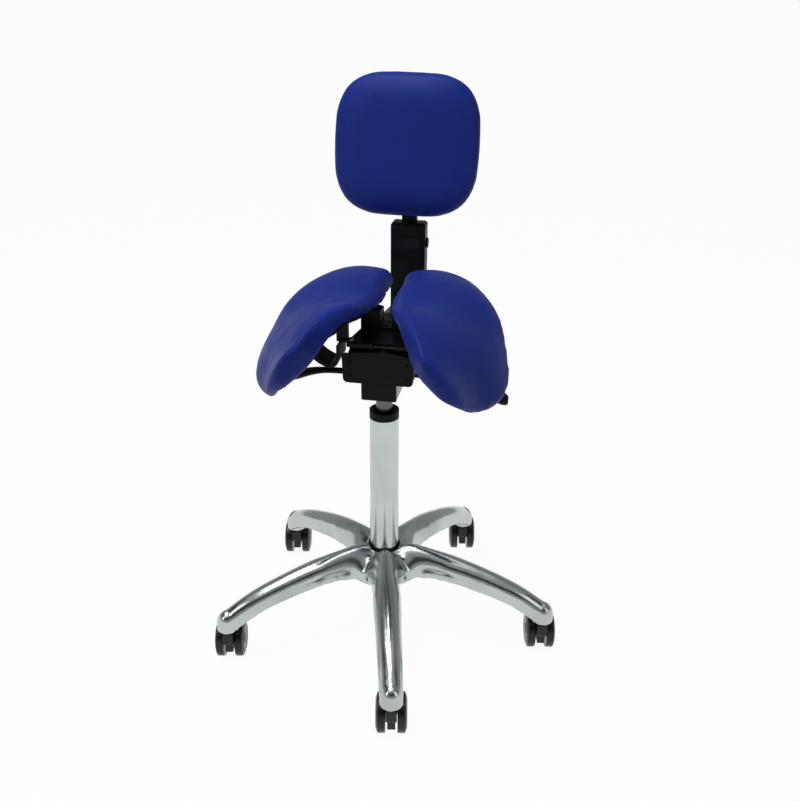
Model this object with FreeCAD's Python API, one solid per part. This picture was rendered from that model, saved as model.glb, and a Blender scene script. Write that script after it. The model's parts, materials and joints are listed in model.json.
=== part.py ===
"""Saddle stool with a divided seat, a tilting mechanism and a height-adjustable backrest.

Millimetres. +Z is up and the seat faces -Y. The origin lies on the floor, on the column's axis.
"""
import FreeCAD, Part
import math
import os

V = FreeCAD.Vector
X_AXIS = V(1, 0, 0)
Y_AXIS = V(0, 1, 0)
Z_AXIS = V(0, 0, 1)

# Clearances
RUN = 0.05
SLIDE_GAP = 0.3
FACE_GAP = 0.1
CUT_OVER = 5.0
OVER = 1.0

# Castors
CASTORS = 5
WHEEL_RADIUS = 32.5
WHEEL_FLAT = 11.0
WHEEL_WIDTH = 15.6
WHEEL_SHOULDER = 4.0
WHEEL_FACE_RADIUS = 24.0
WHEEL_HUB_RADIUS = 9.0
WHEEL_HUB_RECESS = 2.0
WHEEL_HUB_GROOVE = 1.2
WHEEL_HUB_STEP = 3.0
WHEEL_INNER_EDGE = 1.0
WHEEL_RIM_SHARE = 0.6
WHEEL_SHOULDER_BEND = 0.7
HOUSING_WIDTH = 18.0
HOUSING_SIDE_GAP = 0.8
TONGUE_WIDTH = 13.0
TONGUE_REACH = 28.5
TONGUE_HEIGHT = 22.0
HOOD_TOP = 66.5
HOOD_FRONT = 13.0
HOOD_REAR = 26.0
HOOD_EDGE = 5.0
HOOD_BOTTOM = 40.0
TONGUE_FOOT = 10.0
AXLE_RADIUS = 4.0
AXLE_CAP = 3.0
AXLE_HUB_RADIUS = 9.0
TRAIL = 22.0
TRAIL_ANGLE = 100.0
STEM_RADIUS = 5.5
STEM_FOOT = 34.0
STEM_COLLAR = 9.0
STEM_COLLAR_HEIGHT = 2.0

# Star base
STEM_CIRCLE = 290.0
FRONT_LEG_ANGLE = -76.86
BOSS_BOTTOM = 69.0
BOSS_SIDE_TOP = 79.0
BOSS_TOP = 106.5
BOSS_RADIUS = 18.5
SOCKET_DEPTH = 30.0
LEG_WALL = 4.5
LEG_SKIRT = 11.0
HUB_BOTTOM = 110.0
HUB_TOP = 178.0
HUB_RADIUS = 33.0
HUB_LIP_RADIUS = 31.5
STAR_CORE_RADIUS = 56.0
HUB_RING_RADIUS = 28.5
HUB_RING_HEIGHT = 6.0
HUB_RING_EDGE = 1.5

# Column and gas spring
TUBE_RADIUS = 25.0
TUBE_WALL = 2.0
TUBE_BOTTOM = 88.0
TUBE_TOP = 431.0
TUBE_TAPER = 1.2
TUBE_FLOOR_BOTTOM = 100.0
TUBE_FLOOR = 4.0
COLLAR_HEIGHT = 14.0
COLLAR_FUNNEL = 7.0
COLLAR_RIM = 2.5
BUSH_LENGTH = 95.0
BEARING_HEIGHT = 6.0
BEARING_RADIUS = 14.0
BEARING_GROOVE = 1.5
CYLINDER_RADIUS = 14.0
CYLINDER_WALL = 2.0
CYLINDER_END = 12.0
CYLINDER_TOP = 532.0
BUFFER_GAP = 11.0
ROD_RADIUS = 5.0
ROD_NECK_RADIUS = 4.0
ROD_FOOT = 92.0
ROD_LENGTH = 265.0
PISTON_HEIGHT = 12.0
CLIP_RADIUS = 8.5
CLIP_THICKNESS = 1.4
CLIP_SEAT_RADIUS = 3.4
VALVE_PIN_RADIUS = 4.0
VALVE_PIN_TOP = 541.5
VALVE_PIN_FOOT = 523.0
VALVE_PIN_ROUND = 1.5

# Mechanism
BLOCK_HALF_WIDTH = 29.0
BLOCK_FRONT = -47.0
BLOCK_REAR = 25.0
BLOCK_BOTTOM = 481.0
BLOCK_TOP = 514.0
BLOCK_EDGE = 3.0
BOLT_X = 21.0
BOLT_FRONT_Y = -38.0
BOLT_REAR_Y = -20.0
BOLT_BITE = 15.0
SHEET = 3.0
HOUSING_HALF = 52.0
HOUSING_FRONT = -52.0
HOUSING_REAR = 46.0
HOUSING_WALL_TOP = 565.0
HOUSING_CORNER_TOP = 554.0
HOUSING_RAISED_HALF = 13.0
HOUSING_REAR_HEIGHT = 28.0
FLOOR_HOLE_RADIUS = 15.0
COVER_HALF_TOP = 58.5
COVER_HALF_BOTTOM = 57.0
COVER_TOP = 562.0
COVER_ARCH = 6.0
COVER_CORNER = 8.0
COVER_PLATE = 4.0
COVER_RETURN = 24.0
COVER_OPEN_TOP = 556.0
COVER_OPEN_FLOOR = 10.0
COVER_SCREW_BITE = 3.0
COVER_SCREW_X = 46.5
COVER_SCREW_LOW = 525.0
COVER_SCREW_HIGH = 550.0
TILT_AXIS_Z = 556.0
TILT_PIN_RADIUS = 5.0
TILT_EAR_RADIUS = 9.0
TILT_EAR_INNER = 33.0
TILT_EAR = 6.0
PLATE_LIFT = 7.0
PLATE_BOTTOM = HOUSING_WALL_TOP + PLATE_LIFT
PLATE_THICK = 7.0
PLATE_FRONT = -49.0
PLATE_REAR = 50.0
PLATE_FRONT_HALF = 54.0
PLATE_REAR_HALF = 38.0
PLATE_CORNER = 6.0
RECESS_LEFT = -10.0
RECESS_RIGHT = 28.0
RECESS_DEPTH = 14.0
RECESS_CORNER = 3.0
PLATE_HOLE_RADIUS = 2.6
PLATE_HOLES = ((29.0, 9.0), (26.5, -26.0))
SECTOR_RADIUS = 30.0
SECTOR_INNER_RADIUS = 20.0
SECTOR_X = 29.0
SECTOR_THICK = 5.0
SECTOR_START = 3.0
SHOE_GAP = 0.4

# Side levers
LEVER_Y = 15.0
LEVER_PIVOT_X = 42.0
LEVER_PIVOT_Z = 504.0
LEVER_BOSS_RADIUS = 6.0
LEVER_BOSS_WIDTH = 14.0
LEVER_PIN_RADIUS = 3.0
LEVER_LINK_WIDTH = 10.0
LEVER_ARM_WIDTH = 10.5
LEVER_ARM_THICK = 6.0
LEVER_EAR = 3.0
LEVER_EAR_HALF = 8.0
LEVER_ARM_SHIFT = 1.0
HEIGHT_SLOT_INNER = 31.0
TILT_SLOT_INNER = 14.0
LEVER_ROD_RADIUS = 3.5
LEVER_ROD_END = 150.0
TILT_ARM_BOTTOM = 520.0

# Seat halves
SIDE_TO_RIM = 0.82
SHELL_GAP = 0.6
SHELL_THICK = 6.0
SHELL_INSET = 14.0
SEAT_CLEARANCE = 0.3
ROOM_MARGIN = 12.0
ROOM_HEIGHT = 60.0

# Seat brackets
TOWER_INNER = 10.0
TOWER_OUTER = 42.0
TOWER_FRONT = 15.0
TOWER_REAR = 50.0
TOWER_BASE = 6.0
TOWER_SCREW_INSET = 8.0
BRACKET_REACH = 60.0
WING_INNER = 61.0
WING_WALL = 4.0
WING_FRONT = -64.0
WING_REAR = -12.0
WING_TAB_REAR = -35.0
WING_TAB_FRONT = -47.0
WING_TAB_INNER = 39.0
WING_SCREW_X = 45.5
WING_BOTTOM = 540.0
WING_OUTER = 122.0
WING_BEND = 16.0
WING_BELLY_INSET = 20.0
WING_BELLY_RISE = 13.0
WING_RISE = 60.0
WING_STRUT_INNER = 51.0
WING_STRUT_WIDTH = 18.0
WING_STRUT_FRONT = -44.0
WING_STRUT_DEPTH = 12.0

# Backrest
ARM_HALF_WIDTH = 25.0
ARM_THICK = 8.0
ARM_START = 14.0
ARM_BEND = 120.0
ARM_END_Z = 548.0
ARM_FLANGE = 6.0
ARM_FLANGE_HEIGHT = 36.0
POST_SCREW_INSET = 7.0
POST_SCREW_HALF_PITCH = 11.0
POST_SCREW_BITE = 5.0
POST_FRONT = 220.0
POST_DEPTH = 29.0
POST_HALF_WIDTH = 31.0
POST_BOTTOM = 528.0
POST_TOP = 705.0
POST_CHAMFER = 4.0
POST_FLOOR = 6.0
PANEL_HALF_WIDTH = 19.5
PANEL_BOTTOM = 658.0
PANEL_HEIGHT = 21.0
PANEL_RAISE = 1.5
PANEL_CORNER = 2.0
STEM_HALF_WIDTH = 13.5
STEM_FRONT = 232.0
STEM_THICK = 14.0
STEM_EDGE = 2.0
STEM_BOTTOM = 578.0
BUTTON_Z = 667.0
BUTTON_SHIFT = 1.5
BUTTON_RADIUS = 9.0
BUTTON_PROUD = 3.5
BUTTON_TRAVEL = 3.0
BUTTON_FLANGE = 2.0
BUTTON_WALL = 4.0
BUTTON_THROAT = 3.0
BUTTON_EDGE = 1.2
PLUNGER_RADIUS = 4.0
PAD_PIVOT_Z = 806.0
PAD_PIN_RADIUS = 4.0
PAD_BOSS_RADIUS = 9.0
PAD_EAR = 4.5
PAD_Y = 198.0
PAD_Z = 845.0
PAD_WIDTH = 247.0
PAD_HEIGHT = 236.0
PAD_LEAN = 12.5
PAD_SQUARENESS = 3.1
PAD_ARCS = 16
PAD_CROWN = 30.0
PAD_BACK = 22.0
PAD_SHELL = 5.0
PAD_SHELL_INSET = 26.0
PAD_PLATE = 4.0
PAD_PLATE_HALF = 30.0
PAD_PLATE_LOW = -74.0
PAD_PLATE_HIGH = -14.0
PAD_EAR_INSET = 6.0

# Fasteners
SCREW_RADIUS = 3.0
SCREW_HEAD_RADIUS = 5.2
SCREW_HEAD = 3.2
SCREW_SOCKET = 2.0
SCREW_DOME = 0.62
SCREW_SOCKET_FLOOR = 0.35
SCREW_END = 1.0
PIN_PROUD = 2.0
COVER_SCREW_RADIUS = 2.0
COVER_SCREW_HEAD_RADIUS = 3.6
COVER_SCREW_HEAD = 1.8

# Sections of one seat half from its back to its front tip, as x and z: the station's y, the ridge
# and the rim of its crowned top, the crown's height, the lower end of the rim, the lower inner
# edge, how far the underside is hollowed, and how far the rim bulges.
SEAT_STATIONS = (
    (164.0, (54.0, 625.0), (76.0, 623.0), 1.0, (73.0, 613.0), (54.0, 613.0), 0.6, 4.0),
    (158.0, (35.0, 634.0), (96.0, 629.0), 4.0, (88.5, 608.0), (33.0, 609.0), 2.5, 8.0),
    (143.0, (27.0, 640.0), (118.0, 631.0), 8.0, (106.0, 605.0), (18.0, 610.0), 5.0, 10.5),
    (108.0, (30.0, 646.0), (152.0, 621.0), 14.5, (134.0, 597.0), (13.0, 613.0), 12.0, 11.0),
    (60.0, (34.0, 648.0), (186.0, 594.0), 23.5, (162.0, 575.5), (10.0, 616.0), 21.0, 11.0),
    (5.0, (36.0, 646.0), (203.0, 551.0), 31.0, (176.0, 538.5), (12.0, 619.0), 27.0, 11.0),
    (-45.0, (41.0, 650.0), (204.0, 521.0), 34.0, (176.0, 510.0), (21.0, 626.0), 28.0, 11.0),
    (-85.0, (49.0, 656.0), (188.0, 515.0), 32.0, (161.0, 507.0), (30.0, 635.0), 24.0, 11.0),
    (-120.0, (61.0, 657.0), (168.0, 521.0), 26.0, (145.0, 515.0), (43.0, 634.0), 14.0, 8.0),
    (-150.0, (71.0, 652.0), (155.0, 535.0), 18.0, (137.0, 529.0), (59.0, 617.0), 1.0, 6.5),
    (-178.0, (83.0, 641.0), (141.0, 560.0), 10.0, (118.0, 550.0), (81.0, 590.0), -2.0, 6.0),
    (-196.0, (93.0, 630.0), (127.0, 586.0), 4.0, (112.0, 577.0), (92.0, 603.0), -1.0, 4.0),
    (-203.0, (101.0, 621.0), (116.0, 602.0), 1.0, (111.0, 599.0), (100.0, 611.0), 0.4, 1.5),
)
FIRST_SHELL_STATION = 2
LAST_SHELL_STATION = 9

# Sections of the backrest pad, from the back plate forward: share of the depth, and how far the
# outline is drawn in there.
PAD_BACK_SECTIONS = ((1.0, 12.0), (0.72, 4.0))
PAD_FRONT_SECTIONS = ((0.0, 0.0), (0.45, 4.5), (0.72, 16.0), (0.88, 34.0), (0.96, 58.0),
                      (0.99, 82.0), (1.0, 106.0))

# Leg from the hub to the tip: share of the way to the stem, top, lower edge and width.
LEG_STATIONS = (
    (0.076, 182.0, 128.0, 54.0),
    (0.228, 183.0, 133.0, 53.0),
    (0.372, 175.0, 134.0, 49.0),
    (0.514, 165.0, 127.0, 46.0),
    (0.659, 152.0, 116.0, 43.0),
    (0.810, 135.5, 101.0, 41.0),
    (0.903, 123.0, 86.0, 39.5),
    (0.993, 107.0, 72.0, 38.0),
)

# Centre line of a side lever's grip: distance from the middle, height, width and thickness.
GRIP_STATIONS = (
    (58.0, 503.5, 10.0, 9.5),
    (90.0, 502.0, 12.0, 10.0),
    (120.0, 499.0, 17.0, 11.5),
    (152.0, 489.5, 24.0, 15.0),
    (186.0, 478.0, 30.0, 19.0),
    (200.0, 473.5, 28.0, 17.0),
    (205.0, 472.0, 20.0, 11.0),
)


def box(x0, x1, y0, y1, z0, z1):
    """A block between two corners."""
    return Part.makeBox(x1 - x0, y1 - y0, z1 - z0, V(x0, y0, z0))


def upright(radius, z0, z1, x=0.0, y=0.0):
    """A round bar along Z."""
    return Part.makeCylinder(radius, z1 - z0, V(x, y, z0), Z_AXIS)


def along_x(radius, x0, x1, y, z):
    """A round bar along X."""
    return Part.makeCylinder(radius, x1 - x0, V(x0, y, z), X_AXIS)


def along_y(radius, y0, y1, x, z):
    """A round bar along Y."""
    return Part.makeCylinder(radius, y1 - y0, V(x, y0, z), Y_AXIS)


def line(a, b):
    """A straight edge."""
    return Part.LineSegment(a, b).toShape()


def arc(a, through, b):
    """A round edge through three points."""
    return Part.Arc(a, through, b).toShape()


def prism(points, direction):
    """A polygon's face pushed along a direction."""
    return Part.Face(Part.makePolygon(list(points) + [points[0]])).extrude(direction)


def spun(profile, axis=Z_AXIS, at=V(0, 0, 0)):
    """A closed profile turned once about an axis."""
    return Part.Face(Part.makePolygon(list(profile) + [profile[0]])).revolve(at, axis, 360)


def fused(shapes):
    """One solid from touching or overlapping ones."""
    first = shapes[0]
    return first.fuse(list(shapes[1:])).removeSplitter()


def turned(shape, degrees, at=V(0, 0, 0), axis=Z_AXIS):
    """A copy turned about an axis."""
    copy = shape.copy()
    copy.rotate(at, axis, degrees)
    return copy


def moved(shape, offset):
    """A copy moved by an offset."""
    copy = shape.copy()
    copy.translate(offset)
    return copy


def mirrored(shape):
    """The same piece on the other side of the stool."""
    return shape.mirror(V(0, 0, 0), X_AXIS)


def rounded(shape, radius, axis):
    """Rounds the straight edges that run along one axis."""
    chosen = []
    for edge in shape.Edges:
        ends = [v.Point for v in edge.Vertexes]
        if len(ends) == 2 and abs((ends[1] - ends[0]).normalize().dot(axis)) > 0.999:
            chosen.append(edge)
    return shape.makeFillet(radius, chosen)


def rounded_block(x0, x1, y0, y1, z0, z1, radius, axis):
    """A block with its edges along one axis rounded."""
    return rounded(box(x0, x1, y0, y1, z0, z1), radius, axis)


def screw(at, axis, length, radius=SCREW_RADIUS, head_radius=SCREW_HEAD_RADIUS, head=SCREW_HEAD):
    """A domed socket-head screw whose head sits on a face at a point, the shank against axis."""
    base = V(0, 0, 0)
    shank = Part.makeCylinder(radius, length, V(0, 0, -length), Z_AXIS)
    dome = Part.makeCone(head_radius, SCREW_DOME * head_radius, head, base, Z_AXIS)
    reach = SCREW_SOCKET * radius / SCREW_RADIUS
    corners = [math.radians(a) for a in range(0, 360, 60)]
    driver = prism([V(reach * math.cos(a), reach * math.sin(a), SCREW_SOCKET_FLOOR * head)
                    for a in corners], V(0, 0, head))
    whole = fused([shank, dome]).cut(driver)
    whole.Placement = FreeCAD.Placement(at, FreeCAD.Rotation(Z_AXIS, axis))
    return whole


def leg_ring(share, top, low, width, skirt):
    """A leg's outline across: straight skirts with a domed top."""
    distance = share * STEM_CIRCLE
    half = width / 2.0
    foot = low + skirt
    rise = top - foot
    bend = math.sqrt(0.5)
    left = V(distance, -half, low)
    left_up = V(distance, -half, foot)
    crown = V(distance, 0, top)
    right_up = V(distance, half, foot)
    right = V(distance, half, low)
    return Part.Wire([
        line(left, left_up),
        arc(left_up, V(distance, -bend * half, foot + bend * rise), crown),
        arc(crown, V(distance, bend * half, foot + bend * rise), right_up),
        line(right_up, right),
        line(right, left),
    ])


def leg():
    """One arched leg along +X with its open underside and its round tip."""
    outside = Part.makeLoft([leg_ring(share, top, low, width, LEG_SKIRT)
                             for share, top, low, width in LEG_STATIONS], True, False)
    bend = math.sqrt(0.5)
    side = V(BOSS_RADIUS, 0, BOSS_SIDE_TOP)
    crown = V(0, 0, BOSS_TOP)
    rise = BOSS_TOP - BOSS_SIDE_TOP
    profile = Part.Wire([
        line(V(0, 0, BOSS_BOTTOM), V(BOSS_RADIUS, 0, BOSS_BOTTOM)),
        line(V(BOSS_RADIUS, 0, BOSS_BOTTOM), side),
        arc(side, V(bend * BOSS_RADIUS, 0, BOSS_SIDE_TOP + bend * rise), crown),
        line(crown, V(0, 0, BOSS_BOTTOM)),
    ])
    tip = Part.Face(profile).revolve(V(0, 0, 0), Z_AXIS, 360)
    return fused([outside, moved(tip, V(STEM_CIRCLE, 0, 0))])


def leg_channel():
    """The hollow under a leg, between the hub and the tip's boss."""
    hollow = Part.makeLoft([leg_ring(share, top - LEG_WALL, low - CUT_OVER, width - 2 * LEG_WALL,
                                     LEG_SKIRT + CUT_OVER - LEG_WALL)
                            for share, top, low, width in LEG_STATIONS[:-1]], True, False)
    return hollow.cut(upright(HUB_RADIUS, HUB_BOTTOM - CUT_OVER, HUB_TOP))


def tube_cone(extra, bottom, top):
    """The column's slightly tapered foot, grown by a clearance."""
    share = (top - bottom) / (HUB_TOP - TUBE_BOTTOM)
    lower = TUBE_RADIUS - TUBE_TAPER * share + extra
    return Part.makeCone(lower, TUBE_RADIUS + extra, top - bottom, V(0, 0, bottom), Z_AXIS)


def base_star():
    """Hub and five legs, which meet it face to face, with sockets for the column and the stems."""
    pieces = [Part.makeCone(HUB_RADIUS, HUB_LIP_RADIUS, HUB_TOP - HUB_BOTTOM,
                            V(0, 0, HUB_BOTTOM), Z_AXIS)]
    channels = []
    sockets = []
    for angle in leg_angles():
        pieces.append(turned(leg(), angle))
        channels.append(turned(leg_channel(), angle))
        sockets.append(turned(upright(STEM_RADIUS + RUN, BOSS_BOTTOM - CUT_OVER,
                                      BOSS_BOTTOM + SOCKET_DEPTH, STEM_CIRCLE), angle))
    bore = tube_cone(RUN, TUBE_BOTTOM, HUB_TOP)
    ring_seat = upright(HUB_RING_RADIUS + RUN, HUB_TOP - HUB_RING_HEIGHT / 2, HUB_TOP + 2 * CUT_OVER)
    whole = fused(pieces).cut(channels + sockets + [bore, ring_seat])
    core = upright(STAR_CORE_RADIUS, 0, HUB_TOP + 2 * CUT_OVER)
    return Part.makeCompound(whole.common(core).Solids + whole.cut(core).Solids)


def leg_angles():
    """The legs' directions, from +X."""
    return [FRONT_LEG_ANGLE + 360.0 / CASTORS * i for i in range(CASTORS)]


def hub_ring():
    """The dark ring that closes the gap between hub and column."""
    low = HUB_TOP - HUB_RING_HEIGHT / 2
    high = HUB_TOP + HUB_RING_HEIGHT / 2
    inner = TUBE_RADIUS + 2 * RUN
    return spun([V(inner, 0, low), V(HUB_RING_RADIUS, 0, low),
                 V(HUB_RING_RADIUS, 0, high - HUB_RING_EDGE),
                 V(HUB_RING_RADIUS - HUB_RING_EDGE, 0, high), V(inner, 0, high)])


def column_tube():
    """The chrome outer tube: tapered foot, floor with the rod's hole, open top."""
    foot = tube_cone(0, TUBE_BOTTOM, HUB_TOP)
    tube = fused([foot, upright(TUBE_RADIUS, HUB_TOP, TUBE_TOP)])
    inner = TUBE_RADIUS - TUBE_WALL - TUBE_TAPER
    hollow = upright(TUBE_RADIUS - TUBE_WALL, HUB_TOP, TUBE_TOP + CUT_OVER)
    low = upright(inner, TUBE_FLOOR_BOTTOM + TUBE_FLOOR, HUB_TOP + CUT_OVER)
    skirt = upright(inner, TUBE_BOTTOM - CUT_OVER, TUBE_FLOOR_BOTTOM)
    hole = upright(ROD_NECK_RADIUS + RUN, TUBE_BOTTOM, TUBE_FLOOR_BOTTOM + 2 * TUBE_FLOOR)
    return tube.cut([hollow, low, skirt, hole])


def guide_bush():
    """The black bush that guides the gas spring, with a funnel-shaped collar on the tube's rim."""
    bore = CYLINDER_RADIUS + RUN
    collar = TUBE_RADIUS
    top = TUBE_TOP + COLLAR_HEIGHT
    plug = TUBE_RADIUS - TUBE_WALL - RUN
    return spun([V(bore, 0, TUBE_TOP - BUSH_LENGTH), V(plug, 0, TUBE_TOP - BUSH_LENGTH),
                 V(plug, 0, TUBE_TOP), V(collar, 0, TUBE_TOP), V(collar, 0, top),
                 V(collar - COLLAR_RIM, 0, top), V(bore, 0, top - COLLAR_FUNNEL)])


def thrust_bearing():
    """Two washers and a ball cage on the tube's floor."""
    low = TUBE_FLOOR_BOTTOM + TUBE_FLOOR
    third = BEARING_HEIGHT / 3
    bore = ROD_NECK_RADIUS + RUN
    cage = BEARING_RADIUS - BEARING_GROOVE
    return spun([V(bore, 0, low), V(BEARING_RADIUS, 0, low), V(BEARING_RADIUS, 0, low + third),
                 V(cage, 0, low + third), V(cage, 0, low + 2 * third),
                 V(BEARING_RADIUS, 0, low + 2 * third), V(BEARING_RADIUS, 0, low + BEARING_HEIGHT),
                 V(bore, 0, low + BEARING_HEIGHT)])


def rod_shoulder():
    """Where the piston rod rests on the bearing."""
    return TUBE_FLOOR_BOTTOM + TUBE_FLOOR + BEARING_HEIGHT + FACE_GAP


def clip_top():
    """The rod clip's upper face, under the tube's floor."""
    return TUBE_FLOOR_BOTTOM - FACE_GAP


def piston_rod():
    """The rod with its piston, its neck through the floor and the clip's groove."""
    shoulder = rod_shoulder()
    top = ROD_FOOT + ROD_LENGTH
    seat_low = clip_top() - CLIP_THICKNESS
    return spun([V(0, 0, ROD_FOOT), V(ROD_NECK_RADIUS, 0, ROD_FOOT), V(ROD_NECK_RADIUS, 0, seat_low),
                 V(CLIP_SEAT_RADIUS, 0, seat_low), V(CLIP_SEAT_RADIUS, 0, clip_top()),
                 V(ROD_NECK_RADIUS, 0, clip_top()), V(ROD_NECK_RADIUS, 0, shoulder),
                 V(ROD_RADIUS, 0, shoulder), V(ROD_RADIUS, 0, top - PISTON_HEIGHT),
                 V(CYLINDER_RADIUS - CYLINDER_WALL - RUN, 0, top - PISTON_HEIGHT),
                 V(CYLINDER_RADIUS - CYLINDER_WALL - RUN, 0, top), V(0, 0, top)])


def rod_clip():
    """A flat open clip in the rod's groove."""
    low = clip_top() - CLIP_THICKNESS
    disc = upright(CLIP_RADIUS, low, clip_top()).cut(upright(CLIP_SEAT_RADIUS, low, clip_top()))
    mouth = box(0, CLIP_RADIUS + OVER, -CLIP_SEAT_RADIUS, CLIP_SEAT_RADIUS, low, clip_top())
    return disc.cut(mouth)


def gas_cylinder():
    """The grey pressure tube with its two end plugs."""
    bottom = rod_shoulder() + BUFFER_GAP
    shell = upright(CYLINDER_RADIUS, bottom, CYLINDER_TOP)
    room = upright(CYLINDER_RADIUS - CYLINDER_WALL, bottom + CYLINDER_END,
                   CYLINDER_TOP - CYLINDER_END)
    rod_hole = upright(ROD_RADIUS + RUN, bottom - OVER, bottom + CYLINDER_END + OVER)
    pin_hole = upright(VALVE_PIN_RADIUS + RUN, CYLINDER_TOP - CYLINDER_END - OVER,
                       CYLINDER_TOP + OVER)
    return shell.cut([room, rod_hole, pin_hole])


def valve_pin():
    """The pin that opens the gas spring's valve."""
    pin = upright(VALVE_PIN_RADIUS, VALVE_PIN_FOOT, VALVE_PIN_TOP)
    rim = [e for e in pin.Edges if e.Closed and e.BoundBox.ZMin > VALVE_PIN_TOP - FACE_GAP]
    return pin.makeFillet(VALVE_PIN_ROUND, rim)


def socket_bolt_places():
    """The four bolts that hold the socket block under the housing."""
    return [(side * BOLT_X, y) for side in (-1, 1) for y in (BOLT_FRONT_Y, BOLT_REAR_Y)]


def column_socket():
    """The block that clamps the gas spring's top."""
    block = rounded_block(-BLOCK_HALF_WIDTH, BLOCK_HALF_WIDTH, BLOCK_FRONT, BLOCK_REAR,
                          BLOCK_BOTTOM, BLOCK_TOP, BLOCK_EDGE, Y_AXIS)
    cuts = [upright(CYLINDER_RADIUS + RUN, BLOCK_BOTTOM - OVER, BLOCK_TOP + OVER)]
    for x, y in socket_bolt_places():
        cuts.append(upright(SCREW_RADIUS + RUN, BLOCK_TOP - BOLT_BITE - SCREW_END,
                            BLOCK_TOP + OVER, x, y))
    return block.cut(cuts)


def housing_side(x0, x1):
    """A side wall of the housing with its raised middle."""
    points = [V(x0, HOUSING_FRONT, BLOCK_TOP), V(x0, HOUSING_REAR, BLOCK_TOP),
              V(x0, HOUSING_REAR, HOUSING_CORNER_TOP), V(x0, HOUSING_RAISED_HALF, HOUSING_WALL_TOP),
              V(x0, -HOUSING_RAISED_HALF, HOUSING_WALL_TOP), V(x0, HOUSING_FRONT, HOUSING_CORNER_TOP)]
    return prism(points, V(x1 - x0, 0, 0))


def lever_ears(side):
    """The two ears under the floor that hold a lever's pin."""
    half = LEVER_BOSS_WIDTH / 2 + SLIDE_GAP
    ears = []
    for y in (LEVER_Y - half - LEVER_EAR, LEVER_Y + half):
        low = LEVER_PIVOT_Z - LEVER_EAR_HALF
        middle = side * LEVER_PIVOT_X
        ears.append(box(middle - LEVER_EAR_HALF, middle + LEVER_EAR_HALF, y, y + LEVER_EAR,
                        LEVER_PIVOT_Z, BLOCK_TOP + SHEET / 2))
        ears.append(along_y(LEVER_EAR_HALF, y, y + LEVER_EAR, middle, low + LEVER_EAR_HALF))
    return ears


def mechanism_housing():
    """The pressed housing: floor, front, rear and side walls, ears for both levers."""
    inside = HOUSING_HALF - SHEET
    top = BLOCK_TOP + SHEET
    pieces = [box(-HOUSING_HALF, HOUSING_HALF, HOUSING_FRONT, HOUSING_REAR, BLOCK_TOP, top),
              housing_side(-HOUSING_HALF, -inside), housing_side(inside, HOUSING_HALF),
              box(-HOUSING_HALF, HOUSING_HALF, HOUSING_FRONT, HOUSING_FRONT + SHEET,
                  BLOCK_TOP, HOUSING_CORNER_TOP),
              box(-HOUSING_HALF, HOUSING_HALF, HOUSING_REAR - SHEET, HOUSING_REAR,
                  BLOCK_TOP, BLOCK_TOP + HOUSING_REAR_HEIGHT)]
    pieces += lever_ears(1) + lever_ears(-1)
    slot = LEVER_BOSS_WIDTH / 2 + SLIDE_GAP
    low = BLOCK_TOP - OVER
    high = top + OVER
    cuts = [upright(FLOOR_HOLE_RADIUS, low, high),
            along_x(TILT_PIN_RADIUS + RUN, -HOUSING_HALF - OVER, HOUSING_HALF + OVER,
                    0, TILT_AXIS_Z),
            box(HEIGHT_SLOT_INNER, inside, LEVER_Y - slot, LEVER_Y + slot, low, high),
            box(-inside, -TILT_SLOT_INNER, LEVER_Y - slot, LEVER_Y + slot, low, high)]
    reach = lever_pin_reach()
    for side in (-1, 1):
        cuts.append(along_y(LEVER_PIN_RADIUS + RUN, LEVER_Y - reach, LEVER_Y + reach,
                            side * LEVER_PIVOT_X, LEVER_PIVOT_Z))
    for x, y in socket_bolt_places():
        cuts.append(upright(SCREW_RADIUS + RUN, low, high, x, y))
    for x, z in cover_screw_places():
        cuts.append(along_y(COVER_SCREW_RADIUS + RUN, HOUSING_FRONT - OVER,
                            HOUSING_FRONT + SHEET + OVER, x, z))
    return fused(pieces).cut(cuts)


def socket_bolts():
    """Four bolts through the housing's floor into the socket block."""
    top = BLOCK_TOP + SHEET
    return [screw(V(x, y, top), Z_AXIS, SHEET + BOLT_BITE) for x, y in socket_bolt_places()]


def cover_screw_places():
    """Where the four cover screws sit."""
    return [(sx * COVER_SCREW_X, z) for sx in (-1, 1) for z in (COVER_SCREW_LOW, COVER_SCREW_HIGH)]


def cover_face():
    """The front cover's y: just ahead of the housing's front wall."""
    return HOUSING_FRONT - FACE_GAP - COVER_PLATE


def cover_outline(inset, y):
    """The cover's outline: low round corners, sides that widen upwards and an arched top."""
    low = BLOCK_TOP + inset
    bottom = COVER_HALF_BOTTOM - inset
    top = COVER_HALF_TOP - inset
    high = COVER_TOP - inset
    bend = COVER_CORNER * (1 - math.sqrt(0.5))
    return Part.Wire([
        line(V(-bottom + COVER_CORNER, y, low), V(bottom - COVER_CORNER, y, low)),
        arc(V(bottom - COVER_CORNER, y, low), V(bottom - bend, y, low + bend),
            V(bottom, y, low + COVER_CORNER)),
        line(V(bottom, y, low + COVER_CORNER), V(top, y, high)),
        arc(V(top, y, high), V(0, y, high + COVER_ARCH), V(-top, y, high)),
        line(V(-top, y, high), V(-bottom, y, low + COVER_CORNER)),
        arc(V(-bottom, y, low + COVER_CORNER), V(-bottom + bend, y, low + bend),
            V(-bottom + COVER_CORNER, y, low)),
    ])


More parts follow.
